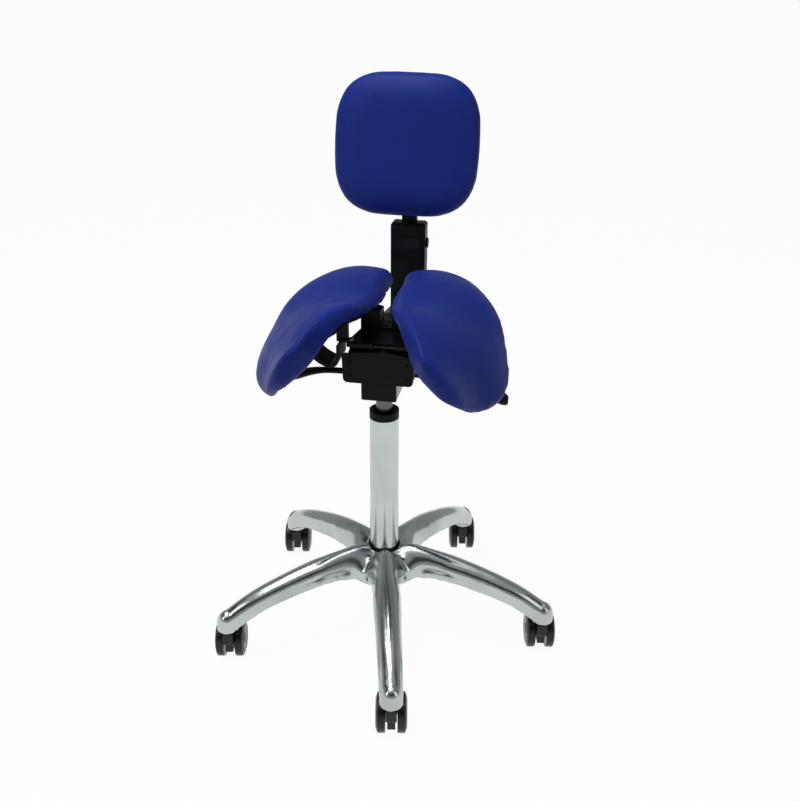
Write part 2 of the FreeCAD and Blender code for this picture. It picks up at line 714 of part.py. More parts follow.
def front_cover():
    """The moulded front cover: a bare face with short side returns around the housing."""
    face = cover_face()
    outer = Part.Face(cover_outline(0, face)).extrude(V(0, COVER_RETURN, 0))
    hollow = Part.Face(cover_outline(SHEET, face + COVER_PLATE)).extrude(V(0, COVER_RETURN, 0))
    back = face + COVER_PLATE
    end = face + COVER_RETURN + OVER
    upper = box(-COVER_HALF_TOP, COVER_HALF_TOP, back, end, COVER_OPEN_TOP,
                COVER_TOP + 2 * COVER_ARCH)
    floor = box(-COVER_HALF_TOP, COVER_HALF_TOP, back, end, BLOCK_TOP - OVER,
                BLOCK_TOP + COVER_OPEN_FLOOR)
    around = box(-HOUSING_HALF - SLIDE_GAP, HOUSING_HALF + SLIDE_GAP, back, end,
                 BLOCK_TOP - OVER, COVER_TOP)
    cover = outer.cut([hollow, upper, floor, around])
    for x, z in cover_screw_places():
        cover = cover.cut(along_y(COVER_SCREW_RADIUS + RUN, face - OVER, back + OVER, x, z))
    return cover


def cover_screws():
    """Four small dark screws in the cover."""
    length = COVER_PLATE + SHEET + COVER_SCREW_BITE
    return [screw(V(x, cover_face(), z), V(0, -1, 0), length, COVER_SCREW_RADIUS,
                  COVER_SCREW_HEAD_RADIUS, COVER_SCREW_HEAD) for x, z in cover_screw_places()]


def lever_pin_reach():
    """How far a lever's pin reaches to each side of the lever."""
    return LEVER_BOSS_WIDTH / 2 + SLIDE_GAP + LEVER_EAR + PIN_PROUD


def lever_pins():
    """The two pins that the levers turn on."""
    reach = lever_pin_reach()
    return [along_y(LEVER_PIN_RADIUS, LEVER_Y - reach, LEVER_Y + reach,
                    side * LEVER_PIVOT_X, LEVER_PIVOT_Z) for side in (-1, 1)]


def tilt_pin():
    """The cross pin of the tilting plate."""
    reach = HOUSING_HALF + PIN_PROUD
    return along_x(TILT_PIN_RADIUS, -reach, reach, 0, TILT_AXIS_Z)


def lever_root(side):
    """A lever's boss and rod, which both levers share."""
    x = side * LEVER_PIVOT_X
    half = LEVER_BOSS_WIDTH / 2
    boss = along_y(LEVER_BOSS_RADIUS, LEVER_Y - half, LEVER_Y + half, x, LEVER_PIVOT_Z)
    pieces = [boss]
    runs = [(LEVER_PIVOT_X, LEVER_PIVOT_Z)] + [(d, z) for d, z, _, _ in GRIP_STATIONS[1:4]]
    runs[-1] = (LEVER_ROD_END, runs[-1][1])
    for (d0, z0), (d1, z1) in zip(runs, runs[1:]):
        start = V(side * d0, LEVER_Y, z0)
        end = V(side * d1, LEVER_Y, z1)
        pieces.append(Part.makeCylinder(LEVER_ROD_RADIUS, (end - start).Length, start, end - start))
        pieces.append(Part.makeSphere(LEVER_ROD_RADIUS, end))
    return pieces


def lever_bore(side):
    """The running hole in a lever's boss."""
    return along_y(LEVER_PIN_RADIUS + RUN, LEVER_Y - LEVER_BOSS_WIDTH, LEVER_Y + LEVER_BOSS_WIDTH,
                   side * LEVER_PIVOT_X, LEVER_PIVOT_Z)


def lever_arm_sides():
    """The two sides of a lever's inner arm."""
    middle = LEVER_Y + LEVER_ARM_SHIFT
    return middle - LEVER_ARM_WIDTH / 2, middle + LEVER_ARM_WIDTH / 2


def height_lever():
    """The right lever: its inner arm lies on the valve pin."""
    bottom = VALVE_PIN_TOP + FACE_GAP
    top = bottom + LEVER_ARM_THICK
    y0, y1 = lever_arm_sides()
    nose_half = VALVE_PIN_RADIUS + OVER
    link = box(LEVER_PIVOT_X - LEVER_LINK_WIDTH / 2, LEVER_PIVOT_X + LEVER_LINK_WIDTH / 2,
               y0, y1, LEVER_PIVOT_Z, top)
    arm = box(-nose_half, LEVER_PIVOT_X, y0, y1, bottom, top)
    nose = box(-nose_half, nose_half, -nose_half, y1, bottom, top)
    return fused(lever_root(1) + [link, arm, nose]).cut(lever_bore(1))


def tilt_lever():
    """The left lever: its inner arm holds a brake shoe under the tilting plate's sector."""
    y0, y1 = lever_arm_sides()
    top = TILT_ARM_BOTTOM + LEVER_ARM_THICK
    link = box(-LEVER_PIVOT_X - LEVER_LINK_WIDTH / 2, -LEVER_PIVOT_X + LEVER_LINK_WIDTH / 2,
               y0, y1, LEVER_PIVOT_Z, top)
    arm = box(-LEVER_PIVOT_X, SECTOR_THICK - SECTOR_X, y0, y1, TILT_ARM_BOTTOM, top)
    shoe = box(-SECTOR_X - SECTOR_THICK, SECTOR_THICK - SECTOR_X, y0, y1, TILT_ARM_BOTTOM,
               TILT_AXIS_Z - SECTOR_INNER_RADIUS)
    room = along_x(SECTOR_RADIUS + SHOE_GAP, -LEVER_PIVOT_X - LEVER_LINK_WIDTH, 0, 0, TILT_AXIS_Z)
    return fused(lever_root(-1) + [link, arm, shoe]).cut([lever_bore(-1), room])


def grip_ring(distance, height, width, thick, side):
    """An oval across a grip."""
    x = side * distance
    half = width / 2
    rise = thick / 2
    front = V(x, LEVER_Y - half, height)
    top = V(x, LEVER_Y, height + rise)
    back = V(x, LEVER_Y + half, height)
    under = V(x, LEVER_Y, height - rise)
    bend = math.sqrt(0.5)
    return Part.Wire([
        arc(front, V(x, LEVER_Y - bend * half, height + bend * rise), top),
        arc(top, V(x, LEVER_Y + bend * half, height + bend * rise), back),
        arc(back, V(x, LEVER_Y + bend * half, height - bend * rise), under),
        arc(under, V(x, LEVER_Y - bend * half, height - bend * rise), front),
    ])


def lever_grip(side):
    """The flared plastic grip that is pushed over a lever's rod."""
    solid = Part.makeLoft([grip_ring(d, z, w, t, side) for d, z, w, t in GRIP_STATIONS], True, False)
    return solid.cut(lever_root(side)[1:])


def tilt_plate():
    """The top casting that the seat halves and the backrest are bolted to."""
    top = PLATE_BOTTOM + PLATE_THICK
    deck = prism([V(-PLATE_FRONT_HALF, PLATE_FRONT, PLATE_BOTTOM),
                  V(PLATE_FRONT_HALF, PLATE_FRONT, PLATE_BOTTOM),
                  V(PLATE_REAR_HALF, PLATE_REAR, PLATE_BOTTOM),
                  V(-PLATE_REAR_HALF, PLATE_REAR, PLATE_BOTTOM)], V(0, 0, PLATE_THICK))
    deck = rounded(deck, PLATE_CORNER, Z_AXIS)
    pieces = [deck]
    for side in (-1, 1):
        inner = side * TILT_EAR_INNER
        outer = side * (TILT_EAR_INNER + TILT_EAR)
        x0 = min(inner, outer)
        x1 = max(inner, outer)
        pieces.append(box(x0, x1, -TILT_EAR_RADIUS, TILT_EAR_RADIUS, TILT_AXIS_Z,
                          PLATE_BOTTOM + PLATE_THICK / 2))
        pieces.append(along_x(TILT_EAR_RADIUS, x0, x1, 0, TILT_AXIS_Z))
    low = PLATE_BOTTOM - OVER
    high = top + OVER
    recess = box(RECESS_LEFT, RECESS_RIGHT, PLATE_FRONT - OVER, PLATE_FRONT + RECESS_DEPTH,
                 low, high)
    cuts = [rounded(recess, RECESS_CORNER, Z_AXIS),
            along_x(TILT_PIN_RADIUS + RUN, -HOUSING_HALF, HOUSING_HALF, 0, TILT_AXIS_Z)]
    for x, y in PLATE_HOLES:
        cuts += [upright(PLATE_HOLE_RADIUS, low, high, side * x, y) for side in (-1, 1)]
    for at, _, _ in plate_screw_places():
        cuts.append(upright(SCREW_RADIUS + RUN, low, high, at.x, at.y))
    return fused(pieces).cut(cuts)


def tilt_sector():
    """The brake sector under the tilting plate."""
    x0 = -SECTOR_X - SECTOR_THICK / 2
    x1 = x0 + SECTOR_THICK
    ring = along_x(SECTOR_RADIUS, x0, x1, 0, TILT_AXIS_Z).cut(
        along_x(SECTOR_INNER_RADIUS, x0, x1, 0, TILT_AXIS_Z))
    keep = box(x0, x1, SECTOR_START, SECTOR_RADIUS + OVER, TILT_AXIS_Z - SECTOR_RADIUS - OVER,
               PLATE_BOTTOM)
    return ring.common(keep)


def plate_screw_places():
    """Screws that go into the tilting plate from above: place, shank length and owner."""
    top = PLATE_BOTTOM + PLATE_THICK
    places = []
    for side in (-1, 1):
        middle = (WING_TAB_FRONT + WING_TAB_REAR) / 2
        places.append((V(side * WING_SCREW_X, middle, top + WING_WALL),
                       WING_WALL + PLATE_THICK - SCREW_END, "wing"))
    for y in (TOWER_FRONT + TOWER_SCREW_INSET, TOWER_REAR - TOWER_SCREW_INSET):
        places.append((V(0, y, top + TOWER_BASE),
                       TOWER_BASE + PLATE_THICK + ARM_THICK - SCREW_END, "tower"))
    return places


def bowed(a, b, bow):
    """An arc between two points of a section that bows to the left of its direction."""
    along = (b - a).normalize()
    side = V(-along.z, 0, along.x)
    return arc(a, (a + b) * 0.5 + side * bow, b)


def section_point(place, y):
    """A point of a section."""
    return V(place[0], y, place[1])


def underside(station):
    """The hollow underside of a section, from the rim's lower end to the inner edge."""
    y, _, _, _, low_rim, keel, hollow, _ = station
    return bowed(section_point(low_rim, y), section_point(keel, y), -hollow)


def cushion_ring(station):
    """A seat half's outline at one station: crowned top, full rim, hollow underside, drawn side."""
    y, ridge, rim, crown, low_rim, keel, _, bulge = station
    ridge = section_point(ridge, y)
    rim = section_point(rim, y)
    low_rim = section_point(low_rim, y)
    keel = section_point(keel, y)
    return Part.Wire([
        bowed(ridge, rim, crown),
        bowed(rim, low_rim, bulge),
        underside(station),
        bowed(keel, ridge, bulge * SIDE_TO_RIM),
    ])


def underside_circle(station):
    """Centre, radius and the two end points of a station's underside."""
    edge = underside(station)
    points = sorted((v.Point for v in edge.Vertexes), key=lambda p: p.x)
    return edge.Curve.Center, edge.Curve.Radius, points[0], points[-1]


def shell_ring(station, gap, thick, inset):
    """The hard shell's outline: it follows the cushion's underside a little below it."""
    y = station[0]
    centre, radius, inner, outer = underside_circle(station)
    start = math.atan2(inner.z - centre.z, inner.x - centre.x) - inset / radius
    end = math.atan2(outer.z - centre.z, outer.x - centre.x) + inset / radius
    middle = (start + end) / 2

    def at(angle, depth):
        reach = radius - depth
        return V(centre.x + reach * math.cos(angle), y, centre.z + reach * math.sin(angle))

    low = gap + thick
    return Part.Wire([
        arc(at(start, gap), at(middle, gap), at(end, gap)),
        line(at(end, gap), at(end, low)),
        arc(at(end, low), at(middle, low), at(start, low)),
        line(at(start, low), at(start, gap)),
    ])


def seat_cushion():
    """The right half's cushion."""
    return Part.makeLoft([cushion_ring(s) for s in SEAT_STATIONS], True, False)


def shell_stations():
    """The stations that the hard shell covers."""
    return SEAT_STATIONS[FIRST_SHELL_STATION:LAST_SHELL_STATION]


def seat_shell():
    """The right half's hard shell."""
    rings = [shell_ring(s, SHELL_GAP, SHELL_THICK, SHELL_INSET) for s in shell_stations()]
    return Part.makeLoft(rings, True, False)


def seat_room():
    """The space that the right half and a small clearance take, for cutting brackets to fit."""
    low = SHELL_GAP + SHELL_THICK + SEAT_CLEARANCE
    rings = [shell_ring(s, -ROOM_HEIGHT, ROOM_HEIGHT + low, -ROOM_MARGIN) for s in shell_stations()]
    return Part.makeLoft(rings, True, False)


def centre_bracket():
    """The low bracket behind the tilt pin: a base with one tower under each seat half."""
    low = PLATE_BOTTOM + PLATE_THICK
    base = box(-TOWER_OUTER, TOWER_OUTER, TOWER_FRONT, TOWER_REAR, low, low + TOWER_BASE)
    pieces = [base]
    for x0, x1 in ((TOWER_INNER, TOWER_OUTER), (-TOWER_OUTER, -TOWER_INNER)):
        pieces.append(box(x0, x1, TOWER_FRONT, TOWER_REAR, low, low + BRACKET_REACH))
    room = seat_room()
    bracket = fused(pieces).cut([room, mirrored(room)])
    solids = sorted(bracket.Solids, key=lambda s: s.CenterOfMass.z)
    bracket = solids[0]
    for at, _, owner in plate_screw_places():
        if owner == "tower":
            bracket = bracket.cut(upright(SCREW_RADIUS + RUN, low - OVER,
                                          low + TOWER_BASE + OVER, at.x, at.y))
    return bracket


def wing_outline(offset):
    """The wing bracket's dished wall from the plate's tab down, out and up to the seat."""
    top = PLATE_BOTTOM + PLATE_THICK
    y = WING_FRONT
    inner = WING_INNER + offset
    low = WING_BOTTOM + offset
    outer = WING_OUTER - offset
    reach = WING_BEND - offset
    bend = reach * (1 - math.sqrt(0.5))
    return [
        line(V(inner, y, top + WING_WALL - offset), V(inner, y, low + reach)),
        arc(V(inner, y, low + reach), V(inner + bend, y, low + bend), V(inner + reach, y, low)),
        arc(V(inner + reach, y, low), V(outer - WING_BELLY_INSET, y, low + WING_BELLY_RISE),
            V(outer, y, low + WING_RISE)),
    ]


def wing_bracket():
    """The right wing bracket: tab on the plate, dished wall and an upright under the seat."""
    outside = wing_outline(0)
    inside = wing_outline(WING_WALL)
    y = WING_FRONT
    first = outside[0].Vertexes[0].Point
    first_in = inside[0].Vertexes[0].Point
    last = outside[-1].Vertexes[-1].Point
    last_in = inside[-1].Vertexes[-1].Point
    wall = Part.Face(Part.Wire(outside + [line(last, last_in)] + inside[::-1]
                               + [line(first_in, first)]))
    dish = wall.extrude(V(0, WING_REAR - y, 0))
    top = PLATE_BOTTOM + PLATE_THICK
    tab = box(WING_TAB_INNER, WING_INNER + WING_WALL, WING_TAB_FRONT, WING_TAB_REAR,
              top, top + WING_WALL)
    strut = box(WING_STRUT_INNER, WING_STRUT_INNER + WING_STRUT_WIDTH, WING_STRUT_FRONT,
                WING_STRUT_FRONT + WING_STRUT_DEPTH, top, top + BRACKET_REACH)
    bracket = fused([dish, tab, strut]).cut(seat_room())
    bracket = sorted(bracket.Solids, key=lambda s: s.Volume)[-1]
    for at, _, owner in plate_screw_places():
        if owner == "wing" and at.x > 0:
            bracket = bracket.cut(upright(SCREW_RADIUS + RUN, top - OVER,
                                          top + WING_WALL + OVER, at.x, at.y))
    return bracket


def backrest_arm():
    """The flat bar from under the tilting plate to the post's foot."""
    top = PLATE_BOTTOM
    low = top - ARM_THICK
    end = POST_FRONT - ARM_FLANGE
    drop = ARM_END_Z - low
    width = V(2 * ARM_HALF_WIDTH, 0, 0)
    x = -ARM_HALF_WIDTH
    bar = prism([V(x, ARM_START, low), V(x, ARM_BEND, low), V(x, end, low + drop),
                 V(x, end, top + drop), V(x, ARM_BEND, top), V(x, ARM_START, top)], width)
    flange = box(-ARM_HALF_WIDTH, ARM_HALF_WIDTH, end, POST_FRONT,
                 ARM_END_Z + ARM_THICK / 2 - ARM_FLANGE_HEIGHT / 2,
                 ARM_END_Z + ARM_THICK / 2 + ARM_FLANGE_HEIGHT / 2)
    arm = fused([bar, flange])
    cuts = []
    for at, _, owner in plate_screw_places():
        if owner == "tower":
            cuts.append(upright(SCREW_RADIUS + RUN, low - OVER, top + OVER, at.x, at.y))
    for at in post_screw_places():
        cuts.append(along_y(SCREW_RADIUS + RUN, end - OVER, POST_FRONT + OVER, at.x, at.z))
    return arm.cut(cuts)


def post_screw_places():
    """The four screws that hold the arm's flange to the post."""
    middle = ARM_END_Z + ARM_THICK / 2
    x = ARM_HALF_WIDTH - POST_SCREW_INSET
    return [V(side * x, POST_FRONT - ARM_FLANGE, middle + updown * POST_SCREW_HALF_PITCH)
            for side in (-1, 1) for updown in (-1, 1)]


def frame_screws():
    """The socket-head screws of the brackets, the arm and the post."""
    solids = [screw(at, Z_AXIS, length) for at, length, _ in plate_screw_places()]
    solids += [screw(at, V(0, -1, 0), ARM_FLANGE + POST_SCREW_BITE) for at in post_screw_places()]
    return solids


def post_casing():
    """The backrest post: a chamfered case with a bare raised panel, the stem's pocket and a
    chamber for the button."""
    y1 = POST_FRONT + POST_DEPTH
    case = box(-POST_HALF_WIDTH, POST_HALF_WIDTH, POST_FRONT, y1, POST_BOTTOM, POST_TOP)
    tops = [e for e in case.Edges if all(abs(v.Point.z - POST_TOP) < 0.01 for v in e.Vertexes)]
    case = case.makeChamfer(POST_CHAMFER, tops)
    panel = rounded_block(-PANEL_HALF_WIDTH, PANEL_HALF_WIDTH, POST_FRONT - PANEL_RAISE,
                          POST_FRONT + OVER, PANEL_BOTTOM, PANEL_BOTTOM + PANEL_HEIGHT,
                          PANEL_CORNER, Y_AXIS)
    pocket_half = STEM_HALF_WIDTH + SLIDE_GAP
    pocket = box(-pocket_half, pocket_half, STEM_FRONT - SLIDE_GAP,
                 STEM_FRONT + STEM_THICK + SLIDE_GAP, POST_BOTTOM + POST_FLOOR, POST_TOP + OVER)
    wall_inner = POST_HALF_WIDTH - BUTTON_WALL
    y = button_middle()
    chamber = along_x(BUTTON_RADIUS + BUTTON_FLANGE + SLIDE_GAP, pocket_half + BUTTON_THROAT, wall_inner,
                      y, BUTTON_Z)
    window = along_x(BUTTON_RADIUS + SLIDE_GAP, wall_inner - OVER, POST_HALF_WIDTH + OVER,
                     y, BUTTON_Z)
    throat = along_x(PLUNGER_RADIUS + SLIDE_GAP, pocket_half - OVER,
                     pocket_half + BUTTON_THROAT + OVER, y, BUTTON_Z)
    cuts = [pocket, chamber, window, throat]
    for at in post_screw_places():
        cuts.append(along_y(SCREW_RADIUS + RUN, POST_FRONT - OVER,
                            POST_FRONT + POST_SCREW_BITE + SCREW_END, at.x, at.z))
    return fused([case, panel]).cut(cuts)


def stem_middle():
    """The stem's middle plane."""
    return STEM_FRONT + STEM_THICK / 2


def button_middle():
    """The button's y: the middle of the post, a little towards the stem."""
    return POST_FRONT + POST_DEPTH / 2 + BUTTON_SHIFT


def release_button():
    """The round button on the post's side with its flange and plunger."""
    y = button_middle()
    wall_inner = POST_HALF_WIDTH - BUTTON_WALL
    flange_end = wall_inner - SLIDE_GAP
    head = along_x(BUTTON_RADIUS, flange_end - OVER, POST_HALF_WIDTH + BUTTON_PROUD, y, BUTTON_Z)
    flange = along_x(BUTTON_RADIUS + BUTTON_FLANGE, flange_end - BUTTON_FLANGE, flange_end,
                     y, BUTTON_Z)
    plunger = along_x(PLUNGER_RADIUS, STEM_HALF_WIDTH + BUTTON_TRAVEL + OVER, flange_end,
                      y, BUTTON_Z)
    button = fused([head, flange, plunger])
    rim = [e for e in button.Edges
           if e.Closed and abs(e.BoundBox.XMin - POST_HALF_WIDTH - BUTTON_PROUD) < 0.01]
    return button.makeFillet(BUTTON_EDGE, rim)


def backrest_stem():
    """The flat stem that slides in the post, with the pad's pivot eye on top."""
    y = stem_middle()
    bar = rounded_block(-STEM_HALF_WIDTH, STEM_HALF_WIDTH, STEM_FRONT, STEM_FRONT + STEM_THICK,
                        STEM_BOTTOM, PAD_PIVOT_Z, STEM_EDGE, Z_AXIS)
    eye = along_x(PAD_BOSS_RADIUS, -STEM_HALF_WIDTH, STEM_HALF_WIDTH, y, PAD_PIVOT_Z)
    hole = along_x(PAD_PIN_RADIUS + RUN, -STEM_HALF_WIDTH - OVER, STEM_HALF_WIDTH + OVER,
                   y, PAD_PIVOT_Z)
    return fused([bar, eye]).cut(hole)


def pad_pin():
    """The pad's cross pin, fixed in its ears."""
    reach = STEM_HALF_WIDTH + SLIDE_GAP + PAD_EAR + PIN_PROUD
    return along_x(PAD_PIN_RADIUS, -reach, reach, stem_middle(), PAD_PIVOT_Z)


def pad_point(u, v, w):
    """A point of the pad, by its own right, up and forward directions."""
    lean = math.radians(PAD_LEAN)
    return V(u, PAD_Y + v * math.sin(lean) - w * math.cos(lean),
             PAD_Z + v * math.cos(lean) + w * math.sin(lean))


def pad_edge(turn, w, shrink):
    """A point of the pad's rounded-square outline at a depth, drawn in by an amount."""
    power = 2.0 / PAD_SQUARENESS
    across = math.copysign(abs(math.cos(turn)) ** power, math.cos(turn))
    upward = math.copysign(abs(math.sin(turn)) ** power, math.sin(turn))
    return pad_point(across * (PAD_WIDTH / 2 - shrink), upward * (PAD_HEIGHT / 2 - shrink), w)


def pad_ring(w, shrink):
    """The pad's outline at a depth, as short arcs."""
    step = 2 * math.pi / PAD_ARCS
    half = step / 2
    starts = [step * i - half for i in range(PAD_ARCS)]
    return Part.Wire([arc(pad_edge(t, w, shrink), pad_edge(t + half, w, shrink),
                          pad_edge(t + step, w, shrink)) for t in starts])


def pad_cushion():
    """The backrest pad: full rounded edge, crowned front, flat back on its shell."""
    rings = [pad_ring(-share * PAD_BACK, drawn) for share, drawn in PAD_BACK_SECTIONS]
    rings += [pad_ring(share * PAD_CROWN, drawn) for share, drawn in PAD_FRONT_SECTIONS]
    return Part.makeLoft(rings, True, False)


def pad_shell():
    """The hard back plate of the pad."""
    front = -PAD_BACK - FACE_GAP
    outline = Part.Face(pad_ring(front, PAD_SHELL_INSET))
    lean = math.radians(PAD_LEAN)
    return outline.extrude(V(0, math.cos(lean), -math.sin(lean)) * PAD_SHELL)


def pad_bracket():
    """The bracket behind the pad: a plate with two ears that reach the stem's pivot."""
    y = stem_middle()
    inner = STEM_HALF_WIDTH + SLIDE_GAP
    outer = inner + PAD_EAR
    back = -PAD_BACK - FACE_GAP - PAD_SHELL
    lean = math.radians(PAD_LEAN)
    away = V(0, math.cos(lean), -math.sin(lean))
    corners = [(-1, PAD_PLATE_LOW), (1, PAD_PLATE_LOW), (1, PAD_PLATE_HIGH), (-1, PAD_PLATE_HIGH)]
    plate = prism([pad_point(side * PAD_PLATE_HALF, v, back) for side, v in corners],
                  away * PAD_PLATE)
    pieces = [plate]
    for x0 in (-outer, inner):
        ear = prism([pad_point(x0, PAD_PLATE_LOW + PAD_EAR_INSET, back - OVER),
                     V(x0, y - OVER, PAD_PIVOT_Z - PAD_BOSS_RADIUS), V(x0, y, PAD_PIVOT_Z),
                     V(x0, y - OVER, PAD_PIVOT_Z + PAD_BOSS_RADIUS),
                     pad_point(x0, PAD_PLATE_HIGH - PAD_EAR_INSET, back - OVER)], V(PAD_EAR, 0, 0))
        pieces.append(ear)
        pieces.append(along_x(PAD_BOSS_RADIUS, x0, x0 + PAD_EAR, y, PAD_PIVOT_Z))
    hole = along_x(PAD_PIN_RADIUS, -outer - OVER, outer + OVER, y, PAD_PIVOT_Z)
    return fused(pieces).cut(hole)


def castor_place(index, shape):
    """Moves a castor's piece from its own stem axis to a leg's tip."""
    angle = math.radians(leg_angles()[index])
    placed = turned(shape, TRAIL_ANGLE)
    return moved(placed, V(STEM_CIRCLE * math.cos(angle), STEM_CIRCLE * math.sin(angle), 0))


def castor_stems():
    """The five steel stems, pressed into the legs' tips."""
    stems = []
    for angle in leg_angles():
        shaft = upright(STEM_RADIUS, STEM_FOOT, BOSS_BOTTOM + SOCKET_DEPTH - SCREW_END, STEM_CIRCLE)
        collar = upright(STEM_COLLAR, BOSS_BOTTOM - STEM_COLLAR_HEIGHT, BOSS_BOTTOM, STEM_CIRCLE)
        stems.append(turned(fused([shaft, collar]), angle))
    return stems


def castor_housing():
    """A castor's body between its wheels: hood over the stem and a tongue in front of the axle."""
    half = HOUSING_WIDTH / 2
    tongue_half = TONGUE_WIDTH / 2
    front = TRAIL - TONGUE_REACH
    bend = TONGUE_REACH * math.sqrt(0.5)
    profile = Part.Wire([
        line(V(front, 0, TONGUE_HEIGHT), V(front, 0, WHEEL_RADIUS)),
        arc(V(front, 0, WHEEL_RADIUS), V(TRAIL - bend, 0, WHEEL_RADIUS + bend),
            V(TRAIL, 0, WHEEL_RADIUS + TONGUE_REACH)),
        arc(V(TRAIL, 0, WHEEL_RADIUS + TONGUE_REACH), V(TRAIL + bend, 0, WHEEL_RADIUS + bend),
            V(TRAIL + TONGUE_REACH, 0, WHEEL_RADIUS)),
        line(V(TRAIL + TONGUE_REACH, 0, WHEEL_RADIUS), V(TRAIL + TONGUE_FOOT, 0, TONGUE_HEIGHT)),
        line(V(TRAIL + TONGUE_FOOT, 0, TONGUE_HEIGHT), V(front, 0, TONGUE_HEIGHT)),
    ])
    web = moved(Part.Face(profile), V(0, -tongue_half, 0)).extrude(V(0, TONGUE_WIDTH, 0))
    hood = rounded_block(-HOOD_FRONT, HOOD_REAR, -half, half, HOOD_BOTTOM, HOOD_TOP, HOOD_EDGE,
                         Y_AXIS)
    hub = along_y(AXLE_HUB_RADIUS, -half, half, TRAIL, WHEEL_RADIUS)
    bore = upright(STEM_RADIUS + RUN, STEM_FOOT - FACE_GAP, HOOD_TOP + OVER)
    axle = along_y(AXLE_RADIUS + RUN, -half - OVER, half + OVER, TRAIL, WHEEL_RADIUS)
    return fused([web, hood, hub]).cut([bore, axle])


def castor_axle():
    """A castor's axle."""
    reach = wheel_inner() + WHEEL_WIDTH - AXLE_CAP - FACE_GAP
    return along_y(AXLE_RADIUS, -reach, reach, TRAIL, WHEEL_RADIUS)


def wheel_inner():
    """Where a wheel's inner face lies, from the castor's middle."""
    return HOUSING_WIDTH / 2 + HOUSING_SIDE_GAP


def castor_wheel(side):
    """One wheel: a flat tread, rounded shoulder, dished outer face and a blind bore."""
    inner = wheel_inner()
    shoulder = inner + WHEEL_FLAT
    face = inner + WHEEL_WIDTH
    edge = WHEEL_RADIUS - WHEEL_SHOULDER
    depth = WHEEL_RIM_SHARE * (WHEEL_WIDTH - WHEEL_FLAT)
    middle = V(edge + WHEEL_SHOULDER_BEND * WHEEL_SHOULDER, shoulder + WHEEL_SHOULDER_BEND * depth, 0)
    rim = V(edge, shoulder + depth, 0)
    hub_in = V(WHEEL_HUB_RADIUS, inner + WHEEL_HUB_RECESS, 0)
    step_in = V(WHEEL_HUB_RADIUS + WHEEL_HUB_STEP, inner, 0)
    inside = V(WHEEL_RADIUS - WHEEL_INNER_EDGE, inner, 0)
    tread_in = V(WHEEL_RADIUS, inner + WHEEL_INNER_EDGE, 0)
    tread_out = V(WHEEL_RADIUS, shoulder, 0)
    dish = V(WHEEL_FACE_RADIUS, face, 0)
    groove = V(WHEEL_HUB_RADIUS + WHEEL_HUB_GROOVE, face - WHEEL_HUB_GROOVE, 0)
    cap = V(WHEEL_HUB_RADIUS, face, 0)
    start = V(0, inner + WHEEL_HUB_RECESS, 0)
    end = V(0, face, 0)
    profile = Part.Wire([
        line(start, hub_in), line(hub_in, step_in), line(step_in, inside), line(inside, tread_in),
        line(tread_in, tread_out), arc(tread_out, middle, rim), line(rim, dish),
        line(dish, groove), line(groove, cap), line(cap, end), line(end, start),
    ])
    wheel = Part.Face(profile).revolve(V(0, 0, 0), Y_AXIS, 360)
    wheel = wheel.cut(along_y(AXLE_RADIUS + RUN, inner - OVER, face - AXLE_CAP, 0, 0))
    if side < 0:
        wheel = wheel.mirror(V(0, 0, 0), Y_AXIS)
    return moved(wheel, V(TRAIL, 0, WHEEL_RADIUS))


def build():
    """All pieces by name."""
    cushion = seat_cushion()
    shell = seat_shell()
    wing = wing_bracket()
    nodes = {
        "base_star": base_star(),
        "hub_ring": hub_ring(),
        "column_tube": column_tube(),
        "guide_bush": guide_bush(),
        "thrust_bearing": thrust_bearing(),
        "castor_stems": castor_stems(),
        "piston_rod": piston_rod(),
        "rod_clip": rod_clip(),
        "gas_cylinder": gas_cylinder(),
        "valve_pin": valve_pin(),
        "column_socket": column_socket(),
        "mechanism_housing": mechanism_housing(),
        "socket_bolts": socket_bolts(),
        "front_cover": front_cover(),
        "cover_screws": cover_screws(),
        "lever_pins": lever_pins(),
        "tilt_pin": tilt_pin(),
        "height_lever": height_lever(),
        "height_grip": lever_grip(1),
        "tilt_lever": tilt_lever(),
        "tilt_grip": lever_grip(-1),
        "tilt_plate": tilt_plate(),
        "tilt_sector": tilt_sector(),
        "centre_bracket": centre_bracket(),
        "wing_bracket_right": wing,
        "wing_bracket_left": mirrored(wing),
        "frame_screws": frame_screws(),
        "seat_shell_right": shell,
        "seat_shell_left": mirrored(shell),
        "seat_cushion_right": cushion,
        "seat_cushion_left": mirrored(cushion),
        "backrest_arm": backrest_arm(),
        "post_casing": post_casing(),
        "release_button": release_button(),
        "backrest_stem": backrest_stem(),
        "pad_pin": pad_pin(),
        "pad_bracket": pad_bracket(),
        "pad_shell": pad_shell(),
        "pad_cushion": pad_cushion(),
    }
    for index in range(CASTORS):
        name = "castor_%d_" % (index + 1)
        nodes[name + "housing"] = castor_place(index, castor_housing())
        nodes[name + "axle"] = castor_place(index, castor_axle())
        nodes[name + "wheel_a"] = castor_place(index, castor_wheel(1))
        nodes[name + "wheel_b"] = castor_place(index, castor_wheel(-1))
    return nodes


def main():
    """Writes each piece to its own file."""
    os.makedirs("parts", exist_ok=True)
    for name, made in build().items():
        shape = Part.makeCompound(made) if isinstance(made, list) else made
        shape.exportStep("parts/" + name + ".step")
        print("%-22s solids %d  valid %s  volume %.0f" % (name, len(shape.Solids), shape.isValid(),
                                                         shape.Volume))


main()
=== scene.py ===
"""A saddle stool with a divided seat: upholstery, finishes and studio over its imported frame."""

